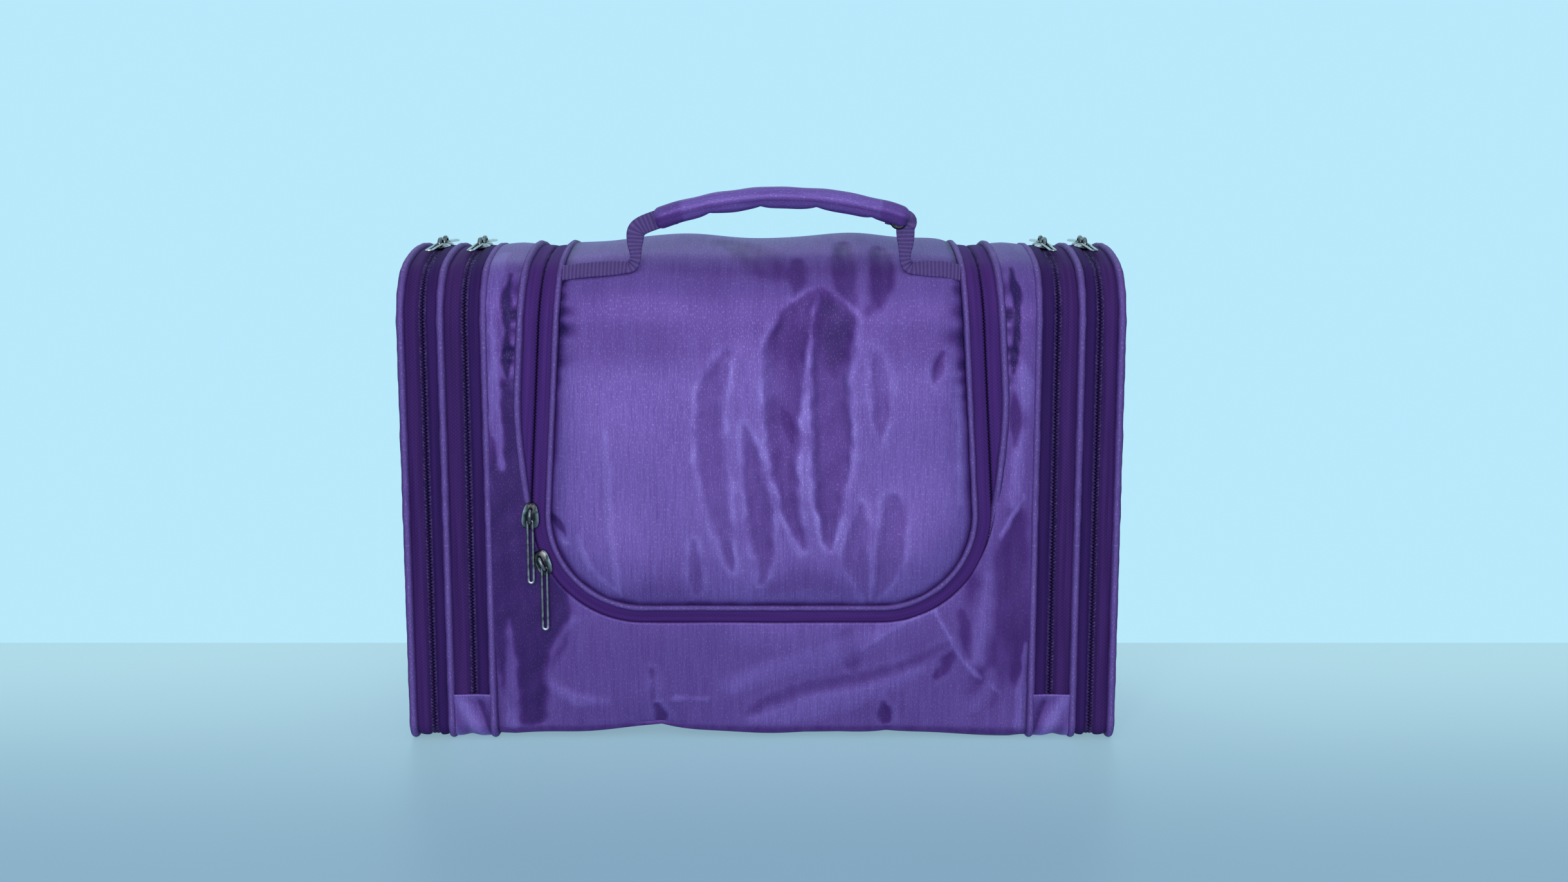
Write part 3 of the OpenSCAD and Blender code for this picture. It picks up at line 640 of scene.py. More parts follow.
front_folds = (
    (((-113, 104, 4), (-112, 140, 9), (-108, 180, 15), (-104, 205, 18), (-107, 228, 13), (-106, 254, 7)),
      0.7, 5.0, 1.2, 0.0),
    (((-110.5, 52, 1), (-111.8, 64, 2.2), (-111.4, 78, 1.5), (-112, 92, 2.1), (-111.8, 101, 0.7)), 0.8, 2.0,
      1.55, 0.0),
    (((-116, 30, 3), (-117, 48, 3.4), (-118, 66, 2.4)), -0.3, 3.0, 0.5, 0.0),
    (((-118.5, 70, 1), (-118, 96, 2.4), (-117, 122, 2.6), (-115, 140, 1)), -0.5, 3.0, 0.7, 0.0),
    (((110.3, 48, 0.9), (111.8, 62, 2), (112.6, 74, 1.3), (111.6, 86, 1.9), (111.2, 97, 0.8)), 0.8, 2.0,
      1.5, 0.0),
    (((115, 93, 2), (115.5, 104, 4), (117, 114, 2)), -0.5, 3.4, 0.7, 0.0),
    (((112.5, 104, 1), (112.5, 116, 2.6), (113, 130, 1)), 0.6, 2.4, 0.7, 0.0),
    (((116, 124, 1.4), (113.5, 140, 3), (112, 156, 2.4)), -0.5, 3.4, 0.6, 0.0),
    (((117, 153, 0.8), (112, 161, 1.3), (107, 171, 0.8)), -0.7, 2.0, 0.9, 0.0),
    (((-113.8, 210, 0.8), (-113, 224, 2.2), (-112.8, 240, 3.2), (-113, 260, 3.2)), -0.8, 3.4, 0.55, 0.0),
    (((-85, 209, 1.5), (-94, 223, 1.4), (-96, 239, 1.7), (-86, 246, 3), (-71, 248, 2)), -0.5, 4.0, 0.55,
      0.0),
    (((-48, 250, 1.4), (-46, 255, 2.6), (-46, 260, 1.2)), 1.0, 2.6, 0.8, 0.4),
    (((-50, 233, 0.9), (-49.7, 247, 0.8)), 0.5, 1.8, 0.5, 0.3),
    (((-48, 248, 0.7), (-36, 247, 1), (-25, 246.8, 0.6)), -0.5, 1.6, 0.6, 0.0),
    (((72, 206, 2), (52, 216, 4.6), (28, 225, 6), (2, 234, 5), (-16, 242, 3)), -0.4, 7.0, 0.45, 0.0),
    (((84, 221, 0.9), (68, 229, 2.3), (45, 237, 2.9), (20, 242, 3.5), (1, 250, 3.5), (-7, 254, 1.4)), 0.4,
      4.0, 0.32, 0.3),
    (((80, 230, 0.9), (57, 240, 3), (31, 249, 5.5), (10, 254, 5), (-4, 258, 2.5)), -0.3, 5.5, 0.45, 0.0),
    (((38, 217, 3.5), (40, 226, 4.7), (42, 234, 1.5)), 0.4, 4.0, 0.4, 0.1),
    (((77, 204, 0.6), (85, 218, 0.8), (93, 231, 0.8), (109, 245, 0.8)), -0.7, 1.7, 0.8, 0.0),
    (((76, 204, 0.6), (59, 214, 1.2), (45, 223, 0.9)), -0.7, 2.0, 0.7, 0.0),
    (((87, 224, 1.2), (83, 230, 3.4), (79, 236, 1.2)), 0.5, 2.8, 0.6, 0.1),
    (((101, 190, 2), (100, 208, 4), (98, 228, 3)), -0.7, 5.5, 0.6, 0.0),
    (((104, 234, 2), (102, 243, 4), (96, 251, 2)), -0.4, 5.0, 0.45, 0.0),
    (((-10, 214, 6), (20, 218, 8), (34, 212, 5)), -0.3, 9.0, 0.25, 0.0),
    (((114, 162, 4), (112, 186, 7), (114, 214, 7), (116, 236, 4)), 0.8, 7.0, 0.85, 0.0),
    (((119, 221, 0.7), (118, 240, 2), (117.7, 262, 3)), -0.9, 1.8, 0.55, 0.0),
    (((55, 249, 1.2), (56.7, 255, 3), (56, 260, 1.2)), 1.0, 2.6, 0.8, 0.4),
    (((90, 206, 2), (92, 216, 3.4), (94, 227, 1)), 0.5, 3.4, 0.6, 0.0),
    (((94, 190, 4), (103, 204, 9), (106, 222, 10), (102, 242, 7)), 0.2, 9.0, 0.62, 0.0))


def gathered(s, edge, width, seed):
    """Puckers where a seam draws slack cloth together: round dimples in a row close by the seam, pressed in
    and painted dark as shade where the mask is used.
    """
    beat = 0.5 + 0.5 * np.sin(2 * math.pi * s / pucker_pitch + 2.4 * np.sin(s / (9 * mm) + seed))
    spread = width * (1 + undulation(s, seed * 50 * mm, 65, 21 * mm, 0.42))
    beat = beat * np.clip(0.75 + undulation(s, seed * 50 * mm, 66, 16 * mm, 0.5), 0, 1.3)
    return np.exp(-((s - pucker_s) / pucker_half) ** 4) * beat * bell(edge - 0.8 * mm, spread)


def front_rise(x, s):
    """The front panel's height and folds: tucked down by zip and side piping, and drawn in at its foot. Its
    tone is painted shade over the whole panel, a painted shadow along its lower edge and painted shade in
    its puckers, besides the painted shade and highlights of its folds.
    """
    from_zip = np.maximum(-inside_zip(x, s) - opening_edge(s), 0)
    edge = np.minimum(wall_half - np.abs(x), from_zip)
    low = ramp(s, 150 * mm, 175 * mm)
    puff = 1 - fade(np.maximum(edge, 0), 5 * mm)
    tuck = np.maximum(puff, low * ramp(wall_half - np.abs(x), 0, 8 * mm))
    pucker = gathered(s + 4 * mm, from_zip - 1.5 * mm, 3.6 * mm, 2.0)
    relief, tone = folded(x, s, front_folds)
    tone = tone * ramp(s, wrap_end, wrap_end - 6 * mm)
    # Painted shade over the whole panel, a little less low down, and a painted shadow along its lower edge.
    shade = 0.52 - 0.09 * ramp(s, 130 * mm, 200 * mm)
    shade = shade + 0.5 * smooth(s, front_end + 1.5 * mm, front_end + 5.5 * mm)
    total = (-0.7 + 0.9 * tuck) * mm + undulation(x, s, 11, 46 * mm, 0.35 * mm) * puff - 1.0 * mm * pucker
    relief = relief * puff * ramp(s, wrap_end, wrap_end - 8 * mm)
    return total + relief + drawn_in(x, s), np.clip(tone - shade - 1.4 * pucker, -2, 1)


ring_x, ring_s = beside_zip(opening_edge, 640)
reach = (flap_corner_r + opening_least) * math.sin(math.pi / 4)
level = np.arctan2(ring_s - bend_s, np.abs(ring_x) - bend_x) > math.pi / 4
down = ramp(ring_s, seam_s, bend_s + reach)
across = np.clip(ring_x / (bend_x + reach), -1, 1)
corners = np.flatnonzero(level)[[0, -1]]
across[corners] = np.sign(across[corners])
outer_s = np.where(level, wrap_end, seam_s + down * (wrap_end - seam_s))
outer_x = wall_half * np.where(level, across, np.sign(ring_x))
share = np.linspace(0, 1, 60)
front_across = ring_x[:, None] + (outer_x - ring_x)[:, None] * share
front_along = ring_s[:, None] + (outer_s - ring_s)[:, None] * share
front_out, front_fold = front_rise(front_across, front_along)
front_points = on_wall(front_across, front_along, front_out)
front_grid = grid(front_points, flat_of(front_across, front_along), front_fold, flip=True)
front_panel = skin("front_cloth", [front_grid], [satin, lining], wall_t)
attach(front_panel, "main_body")
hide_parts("front_panel")

# The sides: a stiffened partition closes each end of the main body, and a wing and a cover lie outside it.
# All are foam board cut to the side outline and edged with satin piping. They are covered in lining, and
# the cover in satin on its outer face.
both_sides = ((-1, "left"), (1, "right"))
main_half = 122 * mm
wing_x = 141 * mm
cover_x = 158.5 * mm
panel_t = 2.4 * mm
piping_r = 1.8 * mm
panel_inset = 3.0 * mm
piping_full = 1.85 * mm
# The piping's hollow colour is painted shade and its crest colour a painted highlight.
piping_bright = (0.195, 0.108, 0.420, 1)
piping_deep = (0.110, 0.050, 0.250, 1)
piping_shade = (0.066, 0.027, 0.165, 1)
piping_highlight = (0.195, 0.112, 0.350, 1)
piping_shades = (piping_bright, piping_deep, piping_shade, piping_highlight)
piping = satin_material("piping_satin", piping_shades, metal=0.15, dull=0.14)


def side_panel(name, x, side, bulge, faces):
    """A panel that fills the side outline: level rows from front to back, crowned at the middle."""
    along = np.concatenate([np.linspace(0, corner_end, 50), np.linspace(corner_end, front_end, 70)[1:],
                            np.linspace(front_end, half_way, 24)[1:]])
    rim = on_wall(0.0, along, -panel_inset)
    reach = np.linspace(-1, 1, 60)
    y = -rim[:, 1:2] * reach
    z = np.broadcast_to(rim[:, 2:3], y.shape)
    rise = (z - rim[-1, 2]) / (rim[0, 2] - rim[-1, 2])
    edge = (1 - reach ** 2) * (4 * rise * (1 - rise))
    wave = undulation(y, z, 17, 80 * mm, bulge / 9) * np.minimum(3 * edge, 1)
    swell = bulge * (1 - np.exp(-3 * edge)) + wave
    points = np.stack([side * (x + swell), y, z], axis=-1)
    return skin(name, [grid(points, flat_of(y, z), flip=side < 0)], faces, panel_t, 0.0)


def unit(vectors):
    """Rows brought to length 1."""
    return vectors / np.linalg.norm(vectors, axis=1, keepdims=True)


def ring_turns(count):
    """Even turns round a full circle."""
    return np.arange(count) * 2 * math.pi / count


def sweep(centres, outward, across_by, out_by, closed=False):
    """Carries a profile along a path: each point lies off the path by a way across it and a way outwards."""
    ahead = np.roll(centres, -1, 0) - np.roll(centres, 1, 0) if closed else np.gradient(centres, axis=0)
    across = unit(np.cross(outward, ahead))
    outward = np.broadcast_to(outward, centres.shape)
    across_by, out_by = (np.broadcast_to(by, (len(centres), by.shape[-1])) for by in (across_by, out_by))
    return centres[:, None] + across[:, None] * across_by[..., None] + outward[:, None] * out_by[..., None]


def cord_grid(centres, outward, radius, sides=14, closed=False, seed=None):
    """A round cord along a path, painted pale along its outer ridge as a highlight and dark on its other
    sides as shade, its ends drawn together unless it closes; a seed makes it pucker along its seam."""
    turn = ring_turns(sides)
    run = length_along(centres)
    thick = np.full(len(centres), radius)
    if seed is not None:
        thick = thick * (1 + undulation(run, 0 * run, seed, 9 * mm, 0.05))
    if not closed:
        end = np.minimum(run, run[-1] - run)
        thick = thick * np.sqrt(1 - (1 - ramp(end, 0, radius)) ** 2 + 1e-6)
    points = sweep(centres, outward, np.outer(thick, np.sin(turn)), np.outer(thick, np.cos(turn)), closed)
    laid = np.append(run, 2 * run[-1] - run[-2]) if closed else run
    flat = flat_of(radius * np.append(turn, 2 * math.pi), laid[:, None])
    # Painted tone round the cord: a highlight on the outer ridge and shade on the rest.
    ridge = 1.4 * np.maximum(np.cos(turn), 0) ** 5 - 0.95
    return grid(points, flat, ridge, closed_rows=closed, closed_columns=True)


loop_s = np.linspace(-half_way, half_way, 620, endpoint=False)
for side, side_name in both_sides:
    for row_x, node_name, body, bulge, faces in (
            (main_half, "partition", "main_body", 0.2 * mm, [lining]),
            (wing_x, "wing_panel", side_name + "_wing", 0.3 * mm, [lining]),
            (cover_x, "cover_panel", side_name + "_cover", 1.6 * mm, [satin, lining])):
        panel = side_panel(f"{side_name}_{node_name}_cloth", row_x, side, bulge, faces)
        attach(panel, body)
        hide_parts(f"{side_name}_{node_name}")
    for row_x, row_name, body in ((main_half, "body", "main_body"), (wing_x, "wing", side_name + "_wing"),
                                  (cover_x, "cover", side_name + "_cover")):
        line = on_wall(side * row_x, loop_s, -piping_r)
        edge_cord = skin(f"{side_name}_{row_name}_cord",
                         [cord_grid(line, facing(loop_s), piping_full, closed=True, seed=21)], [piping])
        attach(edge_cord, body)
        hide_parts(f"{side_name}_{row_name}_piping")

# The zips: woven tapes sewn under the piping, each with a nylon coil along its edge. Two run over each side
# of the bag, from front to back. The teeth of two coils lock into each other half a pitch apart.
tape_t = 0.8 * mm
side_tape_out = -2.2 * mm
tape_bow = 1.2 * mm
coil_w = 2.0 * mm
coil_t = 1.8 * mm
coil_pitch = 1.5 * mm
coil_below = 0.5 * mm
coil_slit = 1.4 * mm
coil_bare = coil_slit / 2 + coil_w
coil_mid = coil_slit / 2 + coil_w / 2
tape_edge = 0.1 * mm
inner_zip_x = 130.5 * mm
outer_zip_x = 149 * mm
inner_zip_end = 20.5 * mm
outer_zip_y = 44 * mm
tape_from = 1.2 * mm
coil_dark = (0.026, 0.009, 0.078, 1)
coil_light = (0.056, 0.022, 0.150, 1)


def tape_material(name, light, dark):
    """Zip tape: a fine herringbone of slanting threads on the cloth layout, with long faint streaks."""
    material, tree, shader = new_material(name)
    layout = cloth_layout(tree)
    slants = []
    for turn in (0.9, -0.9):
        turned = linked(tree, "ShaderNodeMapping", {"Vector": layout, "Rotation": (0, 0, turn)}).outputs[0]
        sockets = {"Vector": turned, "Scale": 260.0, "Distortion": 1.2, "Detail": 1.0, "Detail Scale": 2.0}
        slants.append(linked(tree, "ShaderNodeTexWave", sockets).outputs["Fac"])
    weave = maths(tree, "MULTIPLY", *slants)
    streak = stepped(tree, noise(tree, drawn_out(tree, layout, 620, 13), 1.0, 2.0), 0.25, 0.85)
    cloud = scaled(tree, noise(tree, layout, 60.0, 3.0), 0.3, streak)
    tone = scaled(tree, weave, 0.4, scaled(tree, cloud, 0.6), clamp=True)
    bumped(tree, shader, weave, 0.4, 0.1 * mm)
    colour = mixed(tree, tone, dark, light)
    fill(tree, shader, {"Base Color": colour, "Roughness": 0.7, "Specular IOR Level": 0.1})
    return material


def coil_material():
    """Dark violet nylon coil: smooth, with a broken gloss from tooth to tooth."""
    material, tree, shader = new_material("zip_coil")
    wear = noise(tree, object_place(tree), 900.0, 1.0)
    colour = mixed(tree, wear, coil_dark, coil_light)
    rough = stepped(tree, wear, 0.75, 0.35)
    fill(tree, shader, {"Base Color": colour, "Roughness": rough, "Specular IOR Level": 0.3})
    return material


tape_side = tape_material("tape_side", (0.094, 0.033, 0.208, 1), (0.038, 0.012, 0.100, 1))
tape_dark = tape_material("tape_dark", (0.064, 0.021, 0.172, 1), (0.026, 0.009, 0.080, 1))
coil = coil_material()


def coil_grid(centres, outward, offset, towards, phase):
    """A zip coil beside a line: an oval rod that swells and leans to the line once with each tooth."""
    beat = 0.5 + 0.5 * np.cos(2 * math.pi * length_along(centres) / coil_pitch + phase)
    turn = ring_turns(8)
    half_w = coil_w / 2 * (0.78 + 0.30 * beat)
    half_t = coil_t / 2 * (0.72 + 0.28 * beat)
    middle = offset + towards * 0.9 * mm * beat
    across_by = middle[:, None] + np.outer(half_w, np.sin(turn))
    return grid(sweep(centres, outward, across_by, np.outer(half_t, np.cos(turn))), closed_columns=True)


def band_grid(centres, outward, start, end, rise, bare, seed):
    """A tape beside a line: a band from start to end across, bowed up by rise, that dips under the coil
    where it lies bare beside the line."""
    run = length_along(centres)
    t = np.linspace(0, 1, 11)
    across = start + (end - start) * t
    dip = np.clip(1.6 - np.abs(across) / bare * 1.6, 0, 1) * 1.3 * mm
    wave = undulation(run[:, None], across, seed, 30 * mm, 0.06 * mm)
    points = sweep(centres, outward, across, rise * 4 * t * (1 - t) - dip + wave)
    return grid(points, flat_of(across, run[:, None]))


def zip_half(name, lines, way, span, rise, bare, seed, phase, look):
    """The tape and the coil of one half of a zip, on the side `way` of its line.

    `lines` gives the tape's path and then the teeth's path, each with its outward directions.
    """
    tape_line, tooth_line = lines
    band = band_grid(*tape_line, *sorted(span), rise, bare, seed)
    teeth = coil_grid(*tooth_line, way * coil_mid, -way, phase)
    return skin(name + "_tape", [band], [look], tape_t), skin(name + "_coil", [teeth], [coil])


def side_zip(side, zip_x, end_s, seams, names, bodies, phase):
    """The tapes of the two halves of a side zip between two seams, along the side outline from -end_s to
    end_s; each half's coil is made with it."""
    plain = np.linspace(-end_s, end_s, 500)
    fine = np.linspace(-end_s, end_s, int(2 * end_s / coil_pitch * 4))
    lines = [(on_wall(side * zip_x, s, out), facing(s))
             for s, out in ((plain, side_tape_out), (fine, side_tape_out - coil_below))]
    tapes = []
    for toward, seam, name, body, look, shift in zip((-1, 1), seams, names, bodies, (tape_dark, tape_side),
                                                     (0, math.pi)):
        way = toward * side
        span = (way * tape_edge, side * (seam - zip_x))
        tape, rod = zip_half(name, lines, way, span, tape_bow, coil_bare, 31, phase + shift, look)
        for part in (tape, rod):
            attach(part, body)
        tapes.append(tape)
    return tapes


inner_end_s = front_end - (inner_zip_end - base_r)
outer_end_s = half_way - outer_zip_y
for side, side_name in both_sides:
    wing, cover = side_name + "_wing", side_name + "_cover"
    body_tape, wing_tape = side_zip(
        side, inner_zip_x, inner_end_s, (main_half + tape_from, wing_x - tape_from),
        (side_name + "_inner_body", side_name + "_inner_wing"), ("main_body", wing), 0.0)
    outer_tape, cover_tape = side_zip(
        side, outer_zip_x, outer_end_s, (wing_x + tape_from, cover_x - tape_from),
        (side_name + "_outer_wing", side_name + "_outer_cover"), (wing, cover), 1.0)
    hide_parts(side_name + "_body_stringer")
    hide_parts(side_name + "_wing_stringers")
    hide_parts(side_name + "_wing_stringers")
    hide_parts(side_name + "_cover_stringer")

# The flap's zip: its outer tape is sewn to the front panel under a thin piping, its inner tape to the flap.
flap_margin = 9 * mm
flap_tape_out = -1.4 * mm
flap_tape_bow = 0.5 * mm
flap_coil_bare = 0.8 * mm
flap_coil_below = 1.0 * mm
cord_level = -0.7 * mm
cord_hidden = 4.4 * mm
tape_plum = tape_material("tape_plum", (0.112, 0.038, 0.262, 1), (0.056, 0.017, 0.150, 1))


def hold(piece, body):
    """Fixes a piece to its body; a flap piece instead has its place baked into its mesh, unattached."""
    if body == "flap":
        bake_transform(piece)
    else:
        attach(piece, body)


def opening_cord_out(s):
    """The height of the opening's piping: level, then sinking as the slack panel closes over the zip."""
    return cord_level - 0.9 * np.maximum(opening_margin - opening_edge(s) - cord_hidden, 0)


tooth_count = int(zip_line(2)[2][-1] / coil_pitch * 4)
flap_zip_lines = []
for count, out in ((700, flap_tape_out), (tooth_count, flap_tape_out - flap_coil_below)):
    zip_x, zip_s, _ = zip_line(count)
    flap_zip_lines.append((on_wall(zip_x, zip_s, out), facing(zip_s)))
for half_name, node_name, body, span, way, phase in (
        ("opening", "opening_stringer", "main_body", (-opening_margin, -tape_edge), -1, 0.0),
        ("flap", "flap_stringer", "flap", (tape_edge, flap_margin), 1, math.pi)):
    tape, rod = zip_half(half_name, flap_zip_lines, way, span, flap_tape_bow, flap_coil_bare, 33, phase,
                         tape_plum)
    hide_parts(node_name)
    for part in (tape, rod):
        hold(part, body)
for cord_name, node_name, body, margin, out, radius in (
        ("opening_cord", "opening_piping", "main_body", opening_edge, opening_cord_out, 1.8 * mm),
        ("flap_cord", "flap_piping", "flap", 1.2 * mm - flap_margin, -0.2 * mm, 1.55 * mm)):
    line_x, line_s = beside_zip(margin, 640)
    line = on_wall(line_x, line_s, out(line_s) if callable(out) else out)
    edge_cord = skin(cord_name, [cord_grid(line, facing(line_s), radius, seed=23)], [piping])
    hold(edge_cord, body)
    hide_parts(node_name)

# The gussets: a soft satin web closes the foot of each side zip, sewn over the zip's end and under the base.
gusset_top = 22 * mm
gusset_t = 0.8 * mm
foot_end = front_end - (gusset_top - base_r)
under_end = half_way - outer_zip_y - 2 * mm
for side, side_name in both_sides:
    wing, cover = side_name + "_wing", side_name + "_cover"
    for gusset_name, node_name, near_x, far_x, end_s, low, high in (
            ("foot", "gusset", main_half, wing_x, foot_end, "main_body", wing),
            ("under", "wing_gusset", wing_x, cover_x, under_end, wing, cover)):
        seam_in, seam_out = near_x + 1.0 * mm, far_x - 1.2 * mm
        along = np.concatenate([np.linspace(end_s, half_way, 90), np.linspace(-half_way, -end_s, 90)[1:]])
        web_x, web_s = np.meshgrid(side * np.linspace(seam_in, seam_out, 26)[::side], along)
        t = (np.abs(web_x) - seam_in) / (seam_out - seam_in)
        sag = np.sin(math.pi * t)
        down = np.abs(web_s) - end_s
        crease = smooth(t - 0.42 + 0.45 * down / (24 * mm), -0.06, 0.06)
        ripple = 0.5 * np.sin(2 * math.pi * (t * 1.4 + down / (26 * mm)))
        fold = (1.1 * crease - 1.2 + ripple) * ramp(down, 0, 4 * mm)
        rise = (-0.9 + 0.7 * fade(down, 4 * mm) - 0.3 * sag) * mm
        rise = rise + sag * fold * mm * ramp(half_way - np.abs(web_s), 0, 40 * mm)
        layout = flat_of(web_x, np.abs(web_s - web_s[0, 0]))
        # The crease and ripples also paint the web's tone: mostly painted shade, paler on their crests.
        web_grid = grid(on_wall(web_x, web_s, rise), layout, np.clip(0.95 * fold, -2, 1))
        web = skin(f"{side_name}_{gusset_name}_web", [web_grid], [satin, lining], gusset_t)
        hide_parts(f"{side_name}_{node_name}")
        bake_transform(web)

# The flap: a padded satin panel over the top and front, sewn on behind the crown and zipped round its edge.
# Its cloth is slack, so it falls into upright leaf-shaped hollows with crisp rims. The hollows are painted
# plum as shade, the rims pale as painted highlights, and the upper flap darker as painted shade.
flap_belly = 5.0 * mm
flap_t = 1.6 * mm
seam_lap = 0.8 * mm
flap_folds = (
    (((26, 61, 1), (29, 69, 5.8), (31.8, 76, 9.4), (31, 87, 9), (30, 100, 8.2), (30.6, 114, 8.8),
      (31.3, 128, 8.8), (30.8, 140, 8), (29.8, 154, 5.8), (30.3, 166, 3.6), (30.5, 175, 0.7)), 1.3, 3.0,
      0.74, 0.75),
    (((25, 61, 0.9), (18.5, 69, 4.7), (14, 77, 7.8), (11, 87, 9), (10, 100, 8.5), (9.6, 111, 7.5),
      (9.7, 125, 6.8), (10.4, 140, 5.5), (12.6, 154, 4), (15.6, 166, 2.5), (18.9, 175, 1.2)), 1.1, 3.0,
      0.78, 0.75),
    (((-15.3, 89, 1.9), (-19, 97, 4.6), (-22, 105, 5.7), (-22.8, 114, 5.4), (-22.4, 125, 5.7),
      (-21.3, 140, 6), (-19, 154, 4.8), (-17.3, 166, 3.6), (-14.6, 178, 2), (-13, 184, 1)), 0.7, 3.4, 0.46,
      0.65),
    (((-7.4, 121, 1), (-5.3, 128, 2.8), (-3.7, 140, 4.2), (-1.3, 154, 5.2), (0.1, 166, 5.3), (1.4, 178, 4),
      (0.5, 187, 1.7), (0, 190, 0.6)), 0.8, 3.0, 0.58, 0.6),
    (((-30.4, 172, 0.8), (-29.5, 181, 2.5), (-29, 190, 2.7), (-29.1, 197, 0.8)), 0.5, 2.4, 0.42, 0.4),
    (((44.5, 156, 1.4), (43.2, 166, 3.6), (41.8, 176, 5.7), (42.7, 184, 5.2), (45.4, 192, 2.8),
      (47.7, 200, 0.9)), 0.6, 2.8, 0.36, 0.5),
    (((58.8, 154, 3.5), (58.9, 165, 5.7), (57.5, 175, 5.8), (55.6, 184, 4.9), (52.7, 192, 2.9),
      (49.3, 200, 0.7)), 0.7, 3.0, 0.46, 0.35),
    (((50, 89, 1.8), (51.6, 97, 3.5), (52.5, 105, 4.1), (52.8, 114, 3.5), (52.4, 121, 2.1),
      (52.1, 127, 0.7)), 0.6, 2.8, 0.42, 0.38),
    (((80, 88, 1), (78, 92.6, 2.2), (76.8, 97, 2), (76.2, 100.6, 1)), 0.7, 2.0, 0.7, 0.2),
    (((36.2, 30, 3.5), (35.8, 50, 5.6), (37, 61, 4.2), (40.5, 67, 1.4)), 1.0, 4.5, 0.75, 0.1),
    (((52.6, 36, 4), (53, 53, 6.1), (51.4, 63, 4.6), (47.6, 70, 2)), 1.0, 4.5, 0.75, 0.1),
    (((15.6, 48, 3.5), (15.6, 55, 4.6), (15.6, 60, 2.5), (14.4, 64, 0.7)), 0.8, 4.0, 0.7, 0.1),
    (((-14, 22, 7), (-4, 38, 8.6), (2.4, 48, 8), (9.2, 53, 3.5)), 0.8, 8.0, 0.5, 0.0),
    (((86.7, 104, 1.2), (87.6, 125, 1.6), (88.2, 155, 1.2)), -0.5, 2.0, 0.35, 0.0),
    (((-69, 122, 1.2), (-68, 147, 1.8), (-67, 169, 1.6), (-64.7, 187, 1.4), (-63, 197, 0.8)), -0.5, 2.4,
      0.35, 0.0),
    (((-94.5, 160.5, 0.8), (-91.5, 162.6, 1.3), (-89.3, 165.2, 1.5), (-87, 169.3, 0.5)), 0.7, 1.6, 1.3,
      0.0),
    (((-90, 170, 1), (-88, 172.5, 1.6), (-86, 173, 0.6)), -0.4, 2.0, 0.5, 0.0),
    (((-81.5, 170, 1), (-77, 182.5, 1.4), (-70, 190.5, 1), (-62.3, 196.5, 0.6)), -0.5, 2.4, 0.4, 0.0),
    (((26.5, 64, 1.5), (31.5, 73, 7.5), (32.5, 84, 7.5), (32, 98, 3)), 0.3, 8.0, 1.18, 0.0),
    (((9, 112, 1.5), (11.5, 119, 3.6), (13.5, 127, 1.6)), 0.2, 3.5, 1.15, 0.0),
    (((-15, 91, 4), (-6, 88, 6), (2, 93, 5), (4, 104, 4)), -0.3, 9.0, 0.28, 0.0),
    (((42, 86, 4), (48, 85, 4.5), (54, 92, 3.5), (57, 104, 2.5)), -0.3, 7.0, 0.3, 0.0),
    (((4, 193, 3), (20, 189.6, 6), (37, 194, 3)), 0.2, 9.0, 0.4, 0.0),
    (((-62, 198, 3), (-44, 194, 5), (-28, 199, 3)), 0.2, 9.0, 0.35, 0.0))


def flap_rise(x, s):
    """The flap's height and folds: rolled down to the piping and the seam, bellied out towards its foot. Its
    tone holds painted shade on its upper slope and crown, a dark painted line of shade beside the piping,
    and painted shade in its puckers.
    """
    edge = np.maximum(inside_zip(x, s) - flap_margin, 0)
    roll = 1 - fade(edge, 4.5 * mm)
    tail = 1 - fade(np.maximum(s - seam_s, 0), 9 * mm)
    belly = ramp(s, 70 * mm, 180 * mm) * (1 - fade(edge, 14 * mm))
    pucker = gathered(s, edge, 4.2 * mm, 0.6 * np.sign(x))
    total = (0.2 + roll * tail * 2.8) * mm + flap_belly * belly - 0.9 * mm * pucker
    total = total + undulation(x, s, 41, 60 * mm, 0.5 * mm) * roll * tail
    crown = bell(s, 42 * mm) * tail * roll
    humps = 2.2 * bell(x + 33 * mm, 22 * mm) + 2.8 * bell(x - 44 * mm, 20 * mm)
    total = total + crown * (humps - 0.6 - 2.0 * smooth(-x, 52 * mm, 84 * mm)) * mm
    relief, tone = folded(x, s, flap_folds)
    # Painted shade: darker on the upper slope and the crown, and in a dark line beside the piping.
    shade = 0.44 * (1 - smooth(s, 86 * mm, 102 * mm)) + 0.15 * ramp(s, 40 * mm, 24 * mm)
    groove_shade = 1.35 * bell(edge, 2.3 * mm) * (1 + undulation(x, s, 64, 13 * mm, 0.2))
    return total + relief * roll, np.clip(tone - shade - groove_shade - 1.4 * pucker, -2, 1)


flap_r = flap_corner_r - flap_margin
leg_rows = np.linspace(seam_s - seam_lap, bend_s, 186, endpoint=False)
bend_rows = bend_s + flap_r * np.sin(np.linspace(0, math.pi / 2, 60))
leg_edge = leg_at(leg_rows) - flap_margin / math.cos(leg_a)
bend_edge = bend_x + np.sqrt(np.maximum(flap_r ** 2 - (bend_rows - bend_s) ** 2, 0))
flap_x = np.concatenate([leg_edge, bend_edge])[:, None] * np.linspace(-1, 1, 190)
flap_along = np.broadcast_to(np.concatenate([leg_rows, bend_rows])[:, None], flap_x.shape)
flap_out, flap_fold = flap_rise(flap_x, flap_along)
flap_grid = grid(on_wall(flap_x, flap_along, flap_out), flat_of(flap_x, flap_along), flap_fold)
flap_panel = skin("flap_cloth", [flap_grid], [satin, lining], flap_t)
hold(flap_panel, "flap")
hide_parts("flap_panel")

